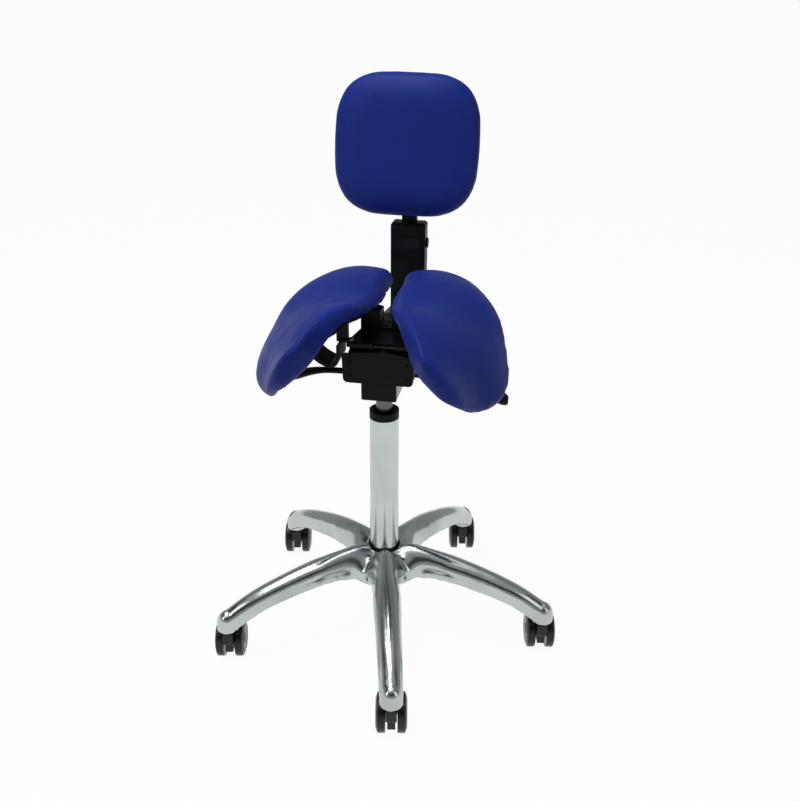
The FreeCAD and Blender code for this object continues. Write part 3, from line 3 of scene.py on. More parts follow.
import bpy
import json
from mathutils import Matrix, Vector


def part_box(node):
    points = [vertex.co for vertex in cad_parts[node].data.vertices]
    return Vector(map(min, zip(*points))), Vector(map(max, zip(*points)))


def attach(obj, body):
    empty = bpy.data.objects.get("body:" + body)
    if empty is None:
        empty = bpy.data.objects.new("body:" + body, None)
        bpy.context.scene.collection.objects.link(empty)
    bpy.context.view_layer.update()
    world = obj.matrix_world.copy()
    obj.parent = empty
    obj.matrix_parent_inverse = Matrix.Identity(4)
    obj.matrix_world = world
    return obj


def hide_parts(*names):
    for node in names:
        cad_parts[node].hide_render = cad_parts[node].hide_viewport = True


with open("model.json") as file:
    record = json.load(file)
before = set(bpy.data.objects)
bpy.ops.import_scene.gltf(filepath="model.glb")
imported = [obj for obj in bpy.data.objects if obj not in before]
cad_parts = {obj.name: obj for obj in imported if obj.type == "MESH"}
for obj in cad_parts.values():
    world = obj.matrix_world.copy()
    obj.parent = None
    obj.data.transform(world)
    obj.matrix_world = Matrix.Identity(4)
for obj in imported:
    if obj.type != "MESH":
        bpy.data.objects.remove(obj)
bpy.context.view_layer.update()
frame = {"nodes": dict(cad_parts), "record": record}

import json
import logging
import math
from dataclasses import asdict, dataclass, field, fields
from enum import Enum
from typing import Any, Iterable, Iterator, Mapping

import bmesh
import bpy
import numpy as np
from mathutils import Matrix, Vector

log = logging.getLogger("saddle_stool")

MM = 0.001
WELD = 0.00001
X, Y, Z = 0, 1, 2
Point = tuple[float, float, float]
Colour = tuple[float, float, float]


class Body(Enum):
    """The moving bodies that new pieces ride on."""

    BASE = "base"
    LIFT_COLUMN = "lift_column"
    SEAT_FRAME = "seat_frame"
    BACKREST_PAD = "backrest_pad"


class Slot(Enum):
    """The record's finishes that new pieces take."""

    LEATHERETTE = "blue_leatherette"
    CASTING = "polished_aluminium"
    ZINC = "zinc_steel"
    BLACK_STEEL = "black_steel"


def opaque(colour: Colour) -> tuple[float, float, float, float]:
    """A colour with full alpha."""
    return (*colour, 1.0)


def grey(value: float) -> tuple[float, float, float, float]:
    """A grey with full alpha."""
    return opaque((value, value, value))


def scaled(colour: Colour, share: float) -> Colour:
    """A colour made lighter or darker by a share."""
    return tuple(min(1.0, part * share) for part in colour)


def ramp(value: np.ndarray, zero: float, one: float) -> np.ndarray:
    """Rises from 0 at one value to 1 at another, and stays within them."""
    return np.clip((value - zero) / (one - zero), 0.0, 1.0)


class Sock:
    """A shader socket whose arithmetic adds Math nodes."""

    def __init__(self, graph: "Graph", socket: bpy.types.NodeSocket | None) -> None:
        """Wraps a socket of a graph."""
        self.graph = graph
        self.socket = socket

    def _maths(self, operation: str, first: Any, second: Any) -> "Sock":
        """Adds a Math node for two sockets or numbers."""
        return self.graph.add("ShaderNodeMath", {"operation": operation}, {0: first, 1: second})

    def __add__(self, other: Any) -> "Sock":
        """Sum."""
        return self._maths("ADD", self, other)

    def __radd__(self, other: Any) -> "Sock":
        """Reflected sum."""
        return self._maths("ADD", other, self)

    def __sub__(self, other: Any) -> "Sock":
        """Difference."""
        return self._maths("SUBTRACT", self, other)

    def __rsub__(self, other: Any) -> "Sock":
        """Reflected difference."""
        return self._maths("SUBTRACT", other, self)

    def __mul__(self, other: Any) -> "Sock":
        """Product."""
        return self._maths("MULTIPLY", self, other)

    def __rmul__(self, other: Any) -> "Sock":
        """Reflected product."""
        return self._maths("MULTIPLY", other, self)

    def __abs__(self) -> "Sock":
        """Size without its sign."""
        return self.graph.add("ShaderNodeMath", {"operation": "ABSOLUTE"}, {0: self})

    def or_larger(self, other: Any) -> "Sock":
        """The larger of two."""
        return self._maths("MAXIMUM", self, other)


@dataclass(frozen=True)
class Noise:
    """A noise: its frequency per metre, its octaves and how its place's axes are stretched."""

    scale: float
    octaves: float = 2.0
    stretch: Point | None = None


@dataclass(frozen=True)
class Band:
    """A range that is mapped onto another with soft ends."""

    low: float
    high: float
    to_low: float = 0.0
    to_high: float = 1.0

    @classmethod
    def above(cls, at: float, blur: float) -> "Band":
        """1 above a value and 0 below it, blurred to both sides."""
        return cls(at - blur, at + blur)

    @classmethod
    def below(cls, at: float, blur: float) -> "Band":
        """1 below a value and 0 above it, blurred to both sides."""
        return cls(at - blur, at + blur, 1.0, 0.0)


@dataclass(frozen=True)
class Relief:
    """What a height of 1 stands for, in metres, and how much of it shows."""

    depth: float
    strength: float


class Graph:
    """A node tree and the one way in which its nodes are made."""

    MIX_SHARE, MIX_FIRST, MIX_SECOND, MIX_RESULT = 0, 6, 7, 2
    BEVEL_SAMPLES = 4

    def __init__(self, tree: bpy.types.NodeTree) -> None:
        """Empties a node tree and keeps it."""
        self.tree = tree
        tree.nodes.clear()

    def add(self, kind: str, settings: Mapping[str, Any] | None = None,
            sockets: Mapping[Any, Any] | None = None, out: Any = 0) -> Sock:
        """Adds a node.

        Args:
            kind: the node's type name.
            settings: its properties, which are set first.
            sockets: values, links or lists of links by input name or number.
            out: the output to hand back.

        Returns:
            That output.
        """
        node = self.tree.nodes.new(kind)
        for key, value in (settings or {}).items():
            setattr(node, key, value)
        for key, value in (sockets or {}).items():
            if isinstance(value, (Sock, list)):
                for link in value if isinstance(value, list) else [value]:
                    self.tree.links.new(link.socket, node.inputs[key])
            else:
                node.inputs[key].default_value = value
        return Sock(self, node.outputs[out] if node.outputs else None)

    def place(self, stretch: Point | None = None) -> Sock:
        """The point's own place in metres, its axes stretched where factors are given."""
        place = self.add("ShaderNodeTexCoord", out="Object")
        if stretch is None:
            return place
        return self.add("ShaderNodeMapping", {}, {"Vector": place, "Scale": stretch})

    def axis(self, index: int) -> Sock:
        """One coordinate of the place: X, Y or Z."""
        return self.add("ShaderNodeSeparateXYZ", {}, {"Vector": self.place()}, index)

    def noise(self, kind: Noise) -> Sock:
        """Soft noise, from 0 to 1."""
        return self.add("ShaderNodeTexNoise", {}, {"Vector": self.place(kind.stretch),
                                                   "Scale": kind.scale, "Detail": kind.octaves})

    def cells(self, scale: float) -> Sock:
        """The distance to the nearest grain cell's middle, for a frequency per metre."""
        return self.add("ShaderNodeTexVoronoi", {}, {"Vector": self.place(), "Scale": scale})

    def eased(self, value: Sock, band: Band) -> Sock:
        """Maps a value by a band with soft ends."""
        return self.add("ShaderNodeMapRange", {"interpolation_type": "SMOOTHSTEP"},
                        {"Value": value, "From Min": band.low, "From Max": band.high,
                         "To Min": band.to_low, "To Max": band.to_high})

    def mixed(self, share: Any, first: Any, second: Any) -> Sock:
        """Mixes two colours or sockets, by the share of the second."""
        first, second = (colour if isinstance(colour, Sock) else opaque(colour)
                         for colour in (first, second))
        return self.add("ShaderNodeMix", {"data_type": "RGBA"},
                        {self.MIX_SHARE: share, self.MIX_FIRST: first, self.MIX_SECOND: second},
                        self.MIX_RESULT)

    def bump(self, height: Sock, relief: Relief, under: Sock | None = None) -> Sock:
        """Turns a height into a normal.

        Args:
            height: the height, from 0 to 1.
            relief: its depth and strength.
            under: a normal that it is added to.

        Returns:
            The normal.
        """
        sockets: dict[Any, Any] = {"Height": height, "Distance": relief.depth,
                                   "Strength": relief.strength}
        if under is not None:
            sockets["Normal"] = under
        return self.add("ShaderNodeBump", {}, sockets)

    def soft_edge(self, radius: float) -> Sock:
        """A normal that rounds the edges, for a radius in metres."""
        return self.add("ShaderNodeBevel", {"samples": self.BEVEL_SAMPLES}, {"Radius": radius})

    def finish(self, sockets: Mapping[str, Any]) -> None:
        """Ends a material with a Principled shader of these values and links."""
        shader = self.add("ShaderNodeBsdfPrincipled", {}, sockets)
        self.add("ShaderNodeOutputMaterial", {}, {"Surface": shader})


def new_material(name: str) -> tuple[bpy.types.Material, Graph]:
    """A material without nodes, and the graph that builds them."""
    material = bpy.data.materials.new(name)
    material.use_nodes = True
    return material, Graph(material.node_tree)


@dataclass(frozen=True)
class Finish:
    """A surface finish: its name, colour and roughness."""

    name: str
    colour: Colour
    roughness: float

    def material(self) -> bpy.types.Material:
        """The finish's material, made once."""
        made = bpy.data.materials.get(self.name)
        if made is None:
            made, graph = new_material(self.name)
            self.paint(graph)
        return made

    def paint(self, graph: Graph) -> None:
        """Builds the nodes."""
        raise NotImplementedError

    def tinted(self, graph: Graph, spots: Sock, band: Band, share: float) -> Sock:
        """The colour, made lighter or darker by a share where a noise's spots show."""
        return graph.mixed(graph.eased(spots, band), self.colour, scaled(self.colour, share))


@dataclass(frozen=True)
class Leatherette(Finish):
    """Smooth coated cloth: fine pressed grain, slow cloudiness and a soft sheen."""

    grain: float = 0.0012
    fibres_per_grain: float = 2.2
    pore_share: float = 0.7
    pore_band: Band = Band(0.25, 0.75, 0.0, 0.35)
    pore_shade: float = 0.8
    cloud: Noise = Noise(7.0, 3.0)
    cloud_band: Band = Band(0.35, 0.7)
    cloud_shade: float = 1.16
    rub: Noise = Noise(34.0, 4.0)
    rough_band: Band = Band(0.35, 0.7, -0.05, 0.05)
    grain_relief: Relief = Relief(0.00006, 0.6)
    crease_relief: Relief = Relief(0.0004, 0.35)
    gloss: float = 0.08
    sheen: float = 0.015
    sheen_roughness: float = 0.45
    sheen_tint: Colour = (0.75, 0.8, 1.0)

    def paint(self, graph: Graph) -> None:
        """Builds the nodes."""
        rub = graph.noise(self.rub)
        pores = graph.cells(1.0 / self.grain)
        fibres = graph.noise(Noise(self.fibres_per_grain / self.grain))
        colour = self.tinted(graph, graph.noise(self.cloud), self.cloud_band, self.cloud_shade)
        height = pores * self.pore_share + fibres * (1.0 - self.pore_share)
        graph.finish({
            "Base Color": graph.mixed(graph.eased(pores, self.pore_band), colour,
                                      scaled(self.colour, self.pore_shade)),
            "Roughness": self.roughness + graph.eased(rub, self.rough_band),
            "Normal": graph.bump(height, self.grain_relief, graph.bump(rub, self.crease_relief)),
            "Specular IOR Level": self.gloss,
            "Sheen Weight": self.sheen,
            "Sheen Roughness": self.sheen_roughness,
            "Sheen Tint": opaque(self.sheen_tint),
        })


@dataclass(frozen=True)
class PolishedCasting(Finish):
    """Buffed cast aluminium: slow waviness from polishing, fine scratches, dull spots."""

    wave: Noise = Noise(26.0)
    wave_relief: Relief = Relief(0.0016, 0.55)
    lines: Noise = Noise(900.0, stretch=(1.0, 1.0, 0.12))
    line_relief: Relief = Relief(0.00001, 0.35)
    cloud: Noise = Noise(11.0, 5.0)
    cloud_band: Band = Band(0.4, 0.68)
    cloud_shade: float = 0.82
    rough_band: Band = Band(0.42, 0.75, 0.0, 0.12)

    def paint(self, graph: Graph) -> None:
        """Builds the nodes."""
        cloud = graph.noise(self.cloud)
        waves = graph.bump(graph.noise(self.wave), self.wave_relief)
        graph.finish({
            "Base Color": self.tinted(graph, cloud, self.cloud_band, self.cloud_shade),
            "Metallic": 1.0,
            "Roughness": self.roughness + graph.eased(cloud, self.rough_band),
            "Normal": graph.bump(graph.noise(self.lines), self.line_relief, waves),
        })


@dataclass(frozen=True)
class PlatedSteel(Finish):
    """Chrome or zinc plate: nearly even, with faint grinding lines around the part."""

    lines: Noise = Noise(1500.0, stretch=(0.05, 0.05, 1.0))
    line_relief: Relief = Relief(0.000008, 0.4)
    film: Noise = Noise(16.0, 3.0)
    film_band: Band = Band(0.35, 0.7)
    film_shade: float = 0.92
    rough_band: Band = Band(0.4, 0.7, -0.02, 0.05)

    def paint(self, graph: Graph) -> None:
        """Builds the nodes."""
        film = graph.noise(self.film)
        graph.finish({
            "Base Color": self.tinted(graph, film, self.film_band, self.film_shade),
            "Metallic": 1.0,
            "Roughness": self.roughness + graph.eased(film, self.rough_band),
            "Normal": graph.bump(graph.noise(self.lines), self.line_relief),
        })


@dataclass(frozen=True)
class SatinCoat(Finish):
    """Black powder coat: orange peel, rounded edges and rubbed spots."""

    peel: Noise = Noise(520.0, 3.0)
    peel_relief: Relief = Relief(0.00008, 0.35)
    dust: Noise = Noise(23.0, 5.0)
    dust_band: Band = Band(0.42, 0.75)
    dust_shade: float = 1.7
    rough_band: Band = Band(0.35, 0.7, -0.06, 0.08)
    edge: float = 0.0009
    gloss: float = 0.1

    def paint(self, graph: Graph) -> None:
        """Builds the nodes."""
        dust = graph.noise(self.dust)
        graph.finish({
            "Base Color": self.tinted(graph, dust, self.dust_band, self.dust_shade),
            "Roughness": self.roughness + graph.eased(dust, self.rough_band),
            "Specular IOR Level": self.gloss,
            "Normal": graph.bump(graph.noise(self.peel), self.peel_relief,
                                 graph.soft_edge(self.edge)),
        })


@dataclass(frozen=True)
class MouldedPlastic(Finish):
    """Black moulded plastic: a fine spark-eroded texture and rounded edges."""

    spark: Noise = Noise(1900.0)
    spark_relief: Relief = Relief(0.00005, 0.5)
    scuff: Noise = Noise(48.0, 6.0)
    scuff_band: Band = Band(0.5, 0.8)
    scuff_shade: float = 1.8
    rough_band: Band = Band(0.35, 0.7, -0.05, 0.07)
    edge: float = 0.0012
    gloss: float = 0.1

    def paint(self, graph: Graph) -> None:
        """Builds the nodes."""
        colour, roughness = self.surface(graph)
        graph.finish({
            "Base Color": colour,
            "Roughness": roughness,
            "Specular IOR Level": self.gloss,
            "Normal": graph.bump(graph.noise(self.spark), self.spark_relief,
                                 graph.soft_edge(self.edge)),
        })

    def surface(self, graph: Graph) -> tuple[Sock, Sock]:
        """The moulding's colour and roughness, scuffed in spots."""
        scuff = graph.noise(self.scuff)
        return (self.tinted(graph, scuff, self.scuff_band, self.scuff_shade),
                self.roughness + graph.eased(scuff, self.rough_band))


@dataclass(frozen=True)
class PostPlastic(MouldedPlastic):
    """The post's moulding, its raised panel smoother and a shade lighter."""

    rough_band: Band = Band(0.35, 0.7, -0.05, 0.06)
    edge: float = 0.0014
    gloss: float = 0.14
    panel_half: float = 0.0195
    panel_low: float = 0.658
    panel_high: float = 0.679
    panel_front: float = 0.2199
    panel_shade: float = 2.6
    panel_polish: float = 0.12
    blur: float = 0.0003

    def surface(self, graph: Graph) -> tuple[Sock, Sock]:
        """The moulding's colour and roughness, with those of its panel."""
        colour, roughness = super().surface(graph)
        panel = self._panel(graph)
        return (graph.mixed(panel, colour, scaled(self.colour, self.panel_shade)),
                roughness - panel * self.panel_polish)

    def _panel(self, graph: Graph) -> Sock:
        """1 on the raised panel and 0 elsewhere."""
        height = graph.axis(Z)
        wide = graph.eased(abs(graph.axis(X)), Band.below(self.panel_half, self.blur))
        low = graph.eased(height, Band.above(self.panel_low, self.blur))
        high = graph.eased(height, Band.below(self.panel_high, self.blur))
        front = graph.eased(graph.axis(Y),
                            Band(self.panel_front - self.blur, self.panel_front, 1.0, 0.0))
        return wide * low * high * front


@dataclass(frozen=True)
class MachinedBlock(Finish):
    """A black block whose flat sides are left as ground metal."""

    side_metal: Colour = (0.16, 0.18, 0.175)
    side_band: Band = Band(0.0286, 0.0289)
    lines: Noise = Noise(700.0, stretch=(1.0, 0.06, 1.0))
    line_shade: float = 0.8
    line_relief: Relief = Relief(0.00002, 0.5)
    rough_band: Band = Band(0.3, 0.7, -0.04, 0.06)
    edge: float = 0.0009
    gloss: float = 0.12

    def paint(self, graph: Graph) -> None:
        """Builds the nodes."""
        bare = graph.eased(abs(graph.axis(X)), self.side_band)
        lines = graph.noise(self.lines)
        metal = graph.mixed(lines, self.side_metal, scaled(self.side_metal, self.line_shade))
        graph.finish({
            "Base Color": graph.mixed(bare, self.colour, metal),
            "Metallic": bare,
            "Roughness": self.roughness + graph.eased(lines, self.rough_band),
            "Specular IOR Level": self.gloss,
            "Normal": graph.bump(lines, self.line_relief, graph.soft_edge(self.edge)),
        })


@dataclass(frozen=True)
class TreadPlastic(Finish):
    """Castor nylon: glossy sides and a tread dulled by the floor."""

    scuff: Noise = Noise(120.0, 5.0)
    scuff_band: Band = Band(0.45, 0.75)
    scuff_relief: Relief = Relief(0.00005, 0.4)
    wheel_band: Band = Band(0.0, 0.065, 1.0, 0.4)
    dull_shade: float = 3.0
    dull_roughness: float = 0.25
    coat: float = 0.12
    coat_worn: float = 0.1
    coat_roughness: float = 0.2
    edge: float = 0.0009
    gloss: float = 0.3

    def paint(self, graph: Graph) -> None:
        """Builds the nodes."""
        scuff = graph.noise(self.scuff)
        dull = (graph.eased(scuff, self.scuff_band)
                * graph.eased(graph.axis(Z), self.wheel_band))
        graph.finish({
            "Base Color": graph.mixed(dull, self.colour, scaled(self.colour, self.dull_shade)),
            "Roughness": self.roughness + dull * self.dull_roughness,
            "Coat Weight": self.coat - dull * self.coat_worn,
            "Coat Roughness": self.coat_roughness,
            "Specular IOR Level": self.gloss,
            "Normal": graph.bump(scuff, self.scuff_relief, graph.soft_edge(self.edge)),
        })


class Finishes:
    """The stool's finishes by the record's slots."""

    BLUE = Leatherette("smooth_blue_leatherette", (0.0085, 0.021, 0.178), 0.48)
    CASTING = PolishedCasting("buffed_aluminium", (0.50, 0.54, 0.525), 0.17)
    CHROME = PlatedSteel("satin_chrome", (0.53, 0.57, 0.56), 0.16)
    GREY_STEEL = PlatedSteel("ground_grey_steel", (0.12, 0.135, 0.135), 0.3)
    ZINC = PlatedSteel("zinc_plate", (0.55, 0.56, 0.53), 0.3)
    BLACK_STEEL = SatinCoat("black_powder_coat", (0.0035, 0.0042, 0.0050), 0.33)
    BLACK_PLASTIC = MouldedPlastic("black_moulding", (0.0040, 0.0048, 0.0055), 0.46)
    NYLON = TreadPlastic("castor_nylon", (0.0035, 0.0045, 0.0065), 0.28)
    BLOCK = MachinedBlock("socket_block", (0.0038, 0.0045, 0.0053), 0.34)
    POST = PostPlastic("post_moulding", (0.0040, 0.0048, 0.0055), 0.44)
    SHELL = MouldedPlastic("pressed_shell", (0.005, 0.0055, 0.0065), 0.6,
                           spark_relief=Relief(0.00012, 0.5))

    BY_SLOT = {
        "polished_aluminium": CASTING, "chrome": CHROME, "grey_steel": GREY_STEEL,
        "zinc_steel": ZINC, "black_steel": BLACK_STEEL, "black_plastic": BLACK_PLASTIC,
        "castor_black": NYLON, "blue_leatherette": BLUE, "shell_black": SHELL,
    }
    BY_NODE = {"column_socket": BLOCK, "post_casing": POST}


class Shape:
    """Mesh work that the pieces share."""

    @staticmethod
    def collect(name: str, mesh: bpy.types.Mesh) -> bpy.types.Object:
        """Puts a mesh into the scene as a new object."""
        piece = bpy.data.objects.new(name, mesh)
        bpy.context.scene.collection.objects.link(piece)
        return piece

    @staticmethod
    def welded(node: str) -> bmesh.types.BMesh:
        """A solid's mesh with its loose triangles joined, which the caller frees."""
        work = bmesh.new()
        work.from_mesh(frame["nodes"][node].data)
        bmesh.ops.remove_doubles(work, verts=work.verts, dist=WELD)
        return work

    @staticmethod
    def copy_of(node: str, name: str) -> bpy.types.Object:
        """A copy of a solid under a new name, its loose triangles joined."""
        mesh = frame["nodes"][node].data.copy()
        mesh.materials.clear()
        work = Shape.welded(node)
        work.to_mesh(mesh)
        work.free()
        return Shape.collect(name, mesh)

    @staticmethod
    def settle(piece: bpy.types.Object) -> None:
        """Applies all modifiers of a piece."""
        depsgraph = bpy.context.evaluated_depsgraph_get()
        mesh = bpy.data.meshes.new_from_object(piece.evaluated_get(depsgraph))
        piece.modifiers.clear()
        piece.data = mesh

    @staticmethod
    def remesh(piece: bpy.types.Object, voxel: float) -> None:
        """Rebuilds a piece from even voxels of a size in metres."""
        modifier = piece.modifiers.new("voxels", "REMESH")
        modifier.mode = "VOXEL"
        modifier.voxel_size = voxel
        Shape.settle(piece)

    @staticmethod
    def refine(piece: bpy.types.Object) -> None:
        """Adds one level of subdivision."""
        finer = piece.modifiers.new("finer", "SUBSURF")
        finer.levels = 1
        finer.render_levels = 1
        Shape.settle(piece)

    @staticmethod
    def _rows(mesh: bpy.types.Mesh, name: str) -> np.ndarray:
        """A vector of each vertex by its name, one row each."""
        flat = np.empty(len(mesh.vertices) * 3)
        mesh.vertices.foreach_get(name, flat)
        return flat.reshape(-1, 3)

    @staticmethod
    def places(mesh: bpy.types.Mesh) -> np.ndarray:
        """The vertices' places, one row each."""
        return Shape._rows(mesh, "co")

    @staticmethod
    def normals(mesh: bpy.types.Mesh) -> np.ndarray:
        """The vertices' normals, one row each."""
        return Shape._rows(mesh, "normal")

    @staticmethod
    def put(mesh: bpy.types.Mesh, places: np.ndarray) -> None:
        """Writes the vertices' places back."""
        mesh.vertices.foreach_set("co", places.ravel())
        mesh.update()

    @staticmethod
    def relaxed(mesh: bpy.types.Mesh, places: np.ndarray, rounds: int, pull: float = 0.5,
                push: float = 0.0, weights: np.ndarray | None = None) -> np.ndarray:
        """Smooths places over a mesh's edges.

        Args:
            mesh: the mesh whose edges are used.
            places: the places to smooth.
            rounds: how often.
            pull: how far towards the neighbours' middle, from 0 to 1.
            push: how far back out after each pull, which keeps the size.
            weights: how much each vertex takes part.

        Returns:
            The smoothed places.
        """
        ends = np.empty(len(mesh.edges) * 2, dtype=np.int64)
        mesh.edges.foreach_get("vertices", ends)
        one, two = ends[0::2], ends[1::2]
        count = np.maximum(np.bincount(ends, minlength=len(places)), 1)[:, None]
        share = np.ones((len(places), 1)) if weights is None else weights[:, None]
        current = places.copy()
        for _ in range(rounds):
            for step in (pull, -push):
                if step == 0.0:
                    continue
                total = np.stack([np.bincount(one, current[two, k], len(places))
                                  + np.bincount(two, current[one, k], len(places))
                                  for k in (X, Y, Z)], axis=1)
                current = current + step * share * (total / count - current)
        return current

    @staticmethod
    def fit(piece: bpy.types.Object, node: str) -> None:
        """Stretches a piece to the box of the solid that it stands for."""
        low, high = (np.array(corner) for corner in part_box(node))
        places = Shape.places(piece.data)
        own_low, own_high = places.min(axis=0), places.max(axis=0)
        Shape.put(piece.data, low + (places - own_low) * (high - low) / (own_high - own_low))

    @staticmethod
    def round_off(piece: bpy.types.Object) -> None:
        """Shades a piece smooth."""
        piece.data.polygons.foreach_set("use_smooth", [True] * len(piece.data.polygons))

    @staticmethod
    def mirror(source: bpy.types.Object, name: str) -> bpy.types.Object:
        """A copy of a piece on the stool's other side, its faces pointing outwards."""
        mesh = source.data.copy()
        mesh.transform(Matrix.Scale(-1.0, 4, Vector((1.0, 0.0, 0.0))))
        mesh.flip_normals()
        return Shape.collect(name, mesh)

    @staticmethod
    def hand_over(piece: bpy.types.Object, finish: Finish, slot: Slot, body: Body,
                  nodes: Iterable[str]) -> None:
        """Dresses a piece and lets it ride in place of solids.

        Args:
            piece: the finished piece.
            finish: its finish.
            slot: the record's slot; not used.
            body: the body that it rides on.
            nodes: the solids that it stands for.
        """
        piece.data.materials.clear()
        piece.data.materials.append(finish.material())
        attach(piece, body.value)
        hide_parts(*nodes)
        log.info("%s: %d faces on %s", piece.name, len(piece.data.polygons), body.value)


@dataclass(frozen=True)
class Upholstery:
    """How foam under a cover is plumped.

    The cover is drawn in, blown up by cloth pressure for some frames, and moved no further than
    the cap. Pull and push smooth it without making it smaller.
    """

    voxel: float = 0.005
    drawn_in: float = 0.002
    pressure: float = 4.0
    quality: int = 4
    cap: float = 0.005
    frames: int = 20
    rounds: int = 60
    pull: float = 0.5
    push: float = 0.53
    even_rounds: int = 60
    least_travel: float = 1e-9

    def plump(self, piece: bpy.types.Object, node: str) -> None:
        """Rebuilds a solid as a swelled, evenly meshed cover.

        Args:
            piece: a closed copy of the soft solid.
            node: the solid's name.
        """
        Shape.remesh(piece, self.voxel)
        self.smooth(piece.data, self.rounds)
        self._blow_up(piece)
        self.smooth(piece.data, self.rounds)
        Shape.fit(piece, node)

    def smooth(self, mesh: bpy.types.Mesh, rounds: int) -> None:
        """Smooths a cover and keeps its size."""
        Shape.put(mesh, Shape.relaxed(mesh, Shape.places(mesh), rounds, self.pull, self.push))

    def _blow_up(self, piece: bpy.types.Object) -> None:
        """Draws the smooth cover in, swells it and evens out how far it moved."""
        mesh = piece.data
        start = Shape.places(mesh) - Shape.normals(mesh) * self.drawn_in
        Shape.put(mesh, start)
        travel = self._swell(piece) - start
        length = np.linalg.norm(travel, axis=1, keepdims=True)
        travel *= np.minimum(1.0, self.cap / np.maximum(length, self.least_travel))
        Shape.put(mesh, start + Shape.relaxed(mesh, travel, self.even_rounds))

    def _swell(self, piece: bpy.types.Object) -> np.ndarray:
        """Blows the cover up with cloth and gives its vertices' last places."""
        cloth = piece.modifiers.new("cover", "CLOTH")
        cloth.settings.use_pressure = True
        cloth.settings.uniform_pressure_force = self.pressure
        cloth.settings.effector_weights.gravity = 0.0
        cloth.settings.quality = self.quality
        cloth.point_cache.frame_start = 1
        cloth.point_cache.frame_end = self.frames
        scene = bpy.context.scene
        for number in range(1, self.frames + 1):
            scene.frame_set(number)
        depsgraph = bpy.context.evaluated_depsgraph_get()
        result = Shape.places(piece.evaluated_get(depsgraph).data)
        piece.modifiers.clear()
        scene.frame_set(1)
        return result


@dataclass
class SeatHalves:
    """The two upholstered halves of the seat, gathered along their lower inner edge."""

    upholstery: Upholstery = field(default_factory=Upholstery)
    last_rounds: int = 12
    slices: int = 31
    slice_half: float = 0.005
    drop_weight: float = 0.55
    pleat_pitch: float = 0.0085
    pleat_depth: float = 0.0009
    pleat_reach: float = 0.016
    pleat_fade: float = 1.5
    pleat_front: float = -0.165
    pleat_back: float = -0.015
    front_fade: float = 0.02
    back_fade: float = 0.03
    lean: float = 0.35
    sway: float = 1.3
    sway_rate: float = 97.0

    def build(self) -> None:
        """Makes both halves."""
        right = Shape.copy_of("seat_cushion_right", "seat_half_right")
        self.upholstery.plump(right, "seat_cushion_right")
        Shape.refine(right)
        self.upholstery.smooth(right.data, self.last_rounds)
        self._gather(right.data)
        left = Shape.mirror(right, "seat_half_left")
        for piece, side in ((right, "right"), (left, "left")):
            Shape.round_off(piece)
            Shape.hand_over(piece, Finishes.BLUE, Slot.LEATHERETTE, Body.SEAT_FRAME,
                            ["seat_cushion_" + side])

    def _keel(self, places: np.ndarray) -> tuple[np.ndarray, np.ndarray]:
        """The lower inner edge, found as the point of each slice that lies furthest in and down.

        Args:
            places: the right half's vertices.

        Returns:
            The slices' y values and the edge's x and z in each.
        """
        slices = np.linspace(self.pleat_front, self.pleat_back, self.slices)
        edge = []
        for y in slices:
            near = places[np.abs(places[:, Y] - y) < self.slice_half]
            best = near[np.argmin(near[:, X] + near[:, Z] * self.drop_weight)]
            edge.append((best[X], best[Z]))
        return slices, np.array(edge)

    def _gather(self, mesh: bpy.types.Mesh) -> None:
        """Presses small gathers into the cover where it turns under the inner edge."""
        places = Shape.places(mesh)
        x, y, z = places.T
        slices, edge = self._keel(places)
        edge_x = np.interp(y, slices, edge[:, 0])
        edge_z = np.interp(y, slices, edge[:, 1])
        fade = ramp(np.hypot(x - edge_x, z - edge_z), self.pleat_reach, 0.0) ** self.pleat_fade
        ends = (ramp(y, self.pleat_front, self.pleat_front + self.front_fade)
                * ramp(y, self.pleat_back, self.pleat_back - self.back_fade))
        along = y + self.lean * (z - edge_z)
        wave = np.sin(2.0 * math.pi * along / self.pleat_pitch
                      + self.sway * np.sin(y * self.sway_rate))
        depth = self.pleat_depth * np.minimum(wave, 0.0) * fade * ends
        Shape.put(mesh, places + Shape.normals(mesh) * depth[:, None])


@dataclass
class BackrestCushion:
    """The upholstered backrest pad."""

    upholstery: Upholstery = field(default_factory=Upholstery)

    def build(self) -> None:
        """Makes the pad's cushion."""
        piece = Shape.copy_of("pad_cushion", "backrest_cushion")
        self.upholstery.plump(piece, "pad_cushion")
        Shape.refine(piece)
        Shape.round_off(piece)
        Shape.hand_over(piece, Finishes.BLUE, Slot.LEATHERETTE, Body.BACKREST_PAD, ["pad_cushion"])


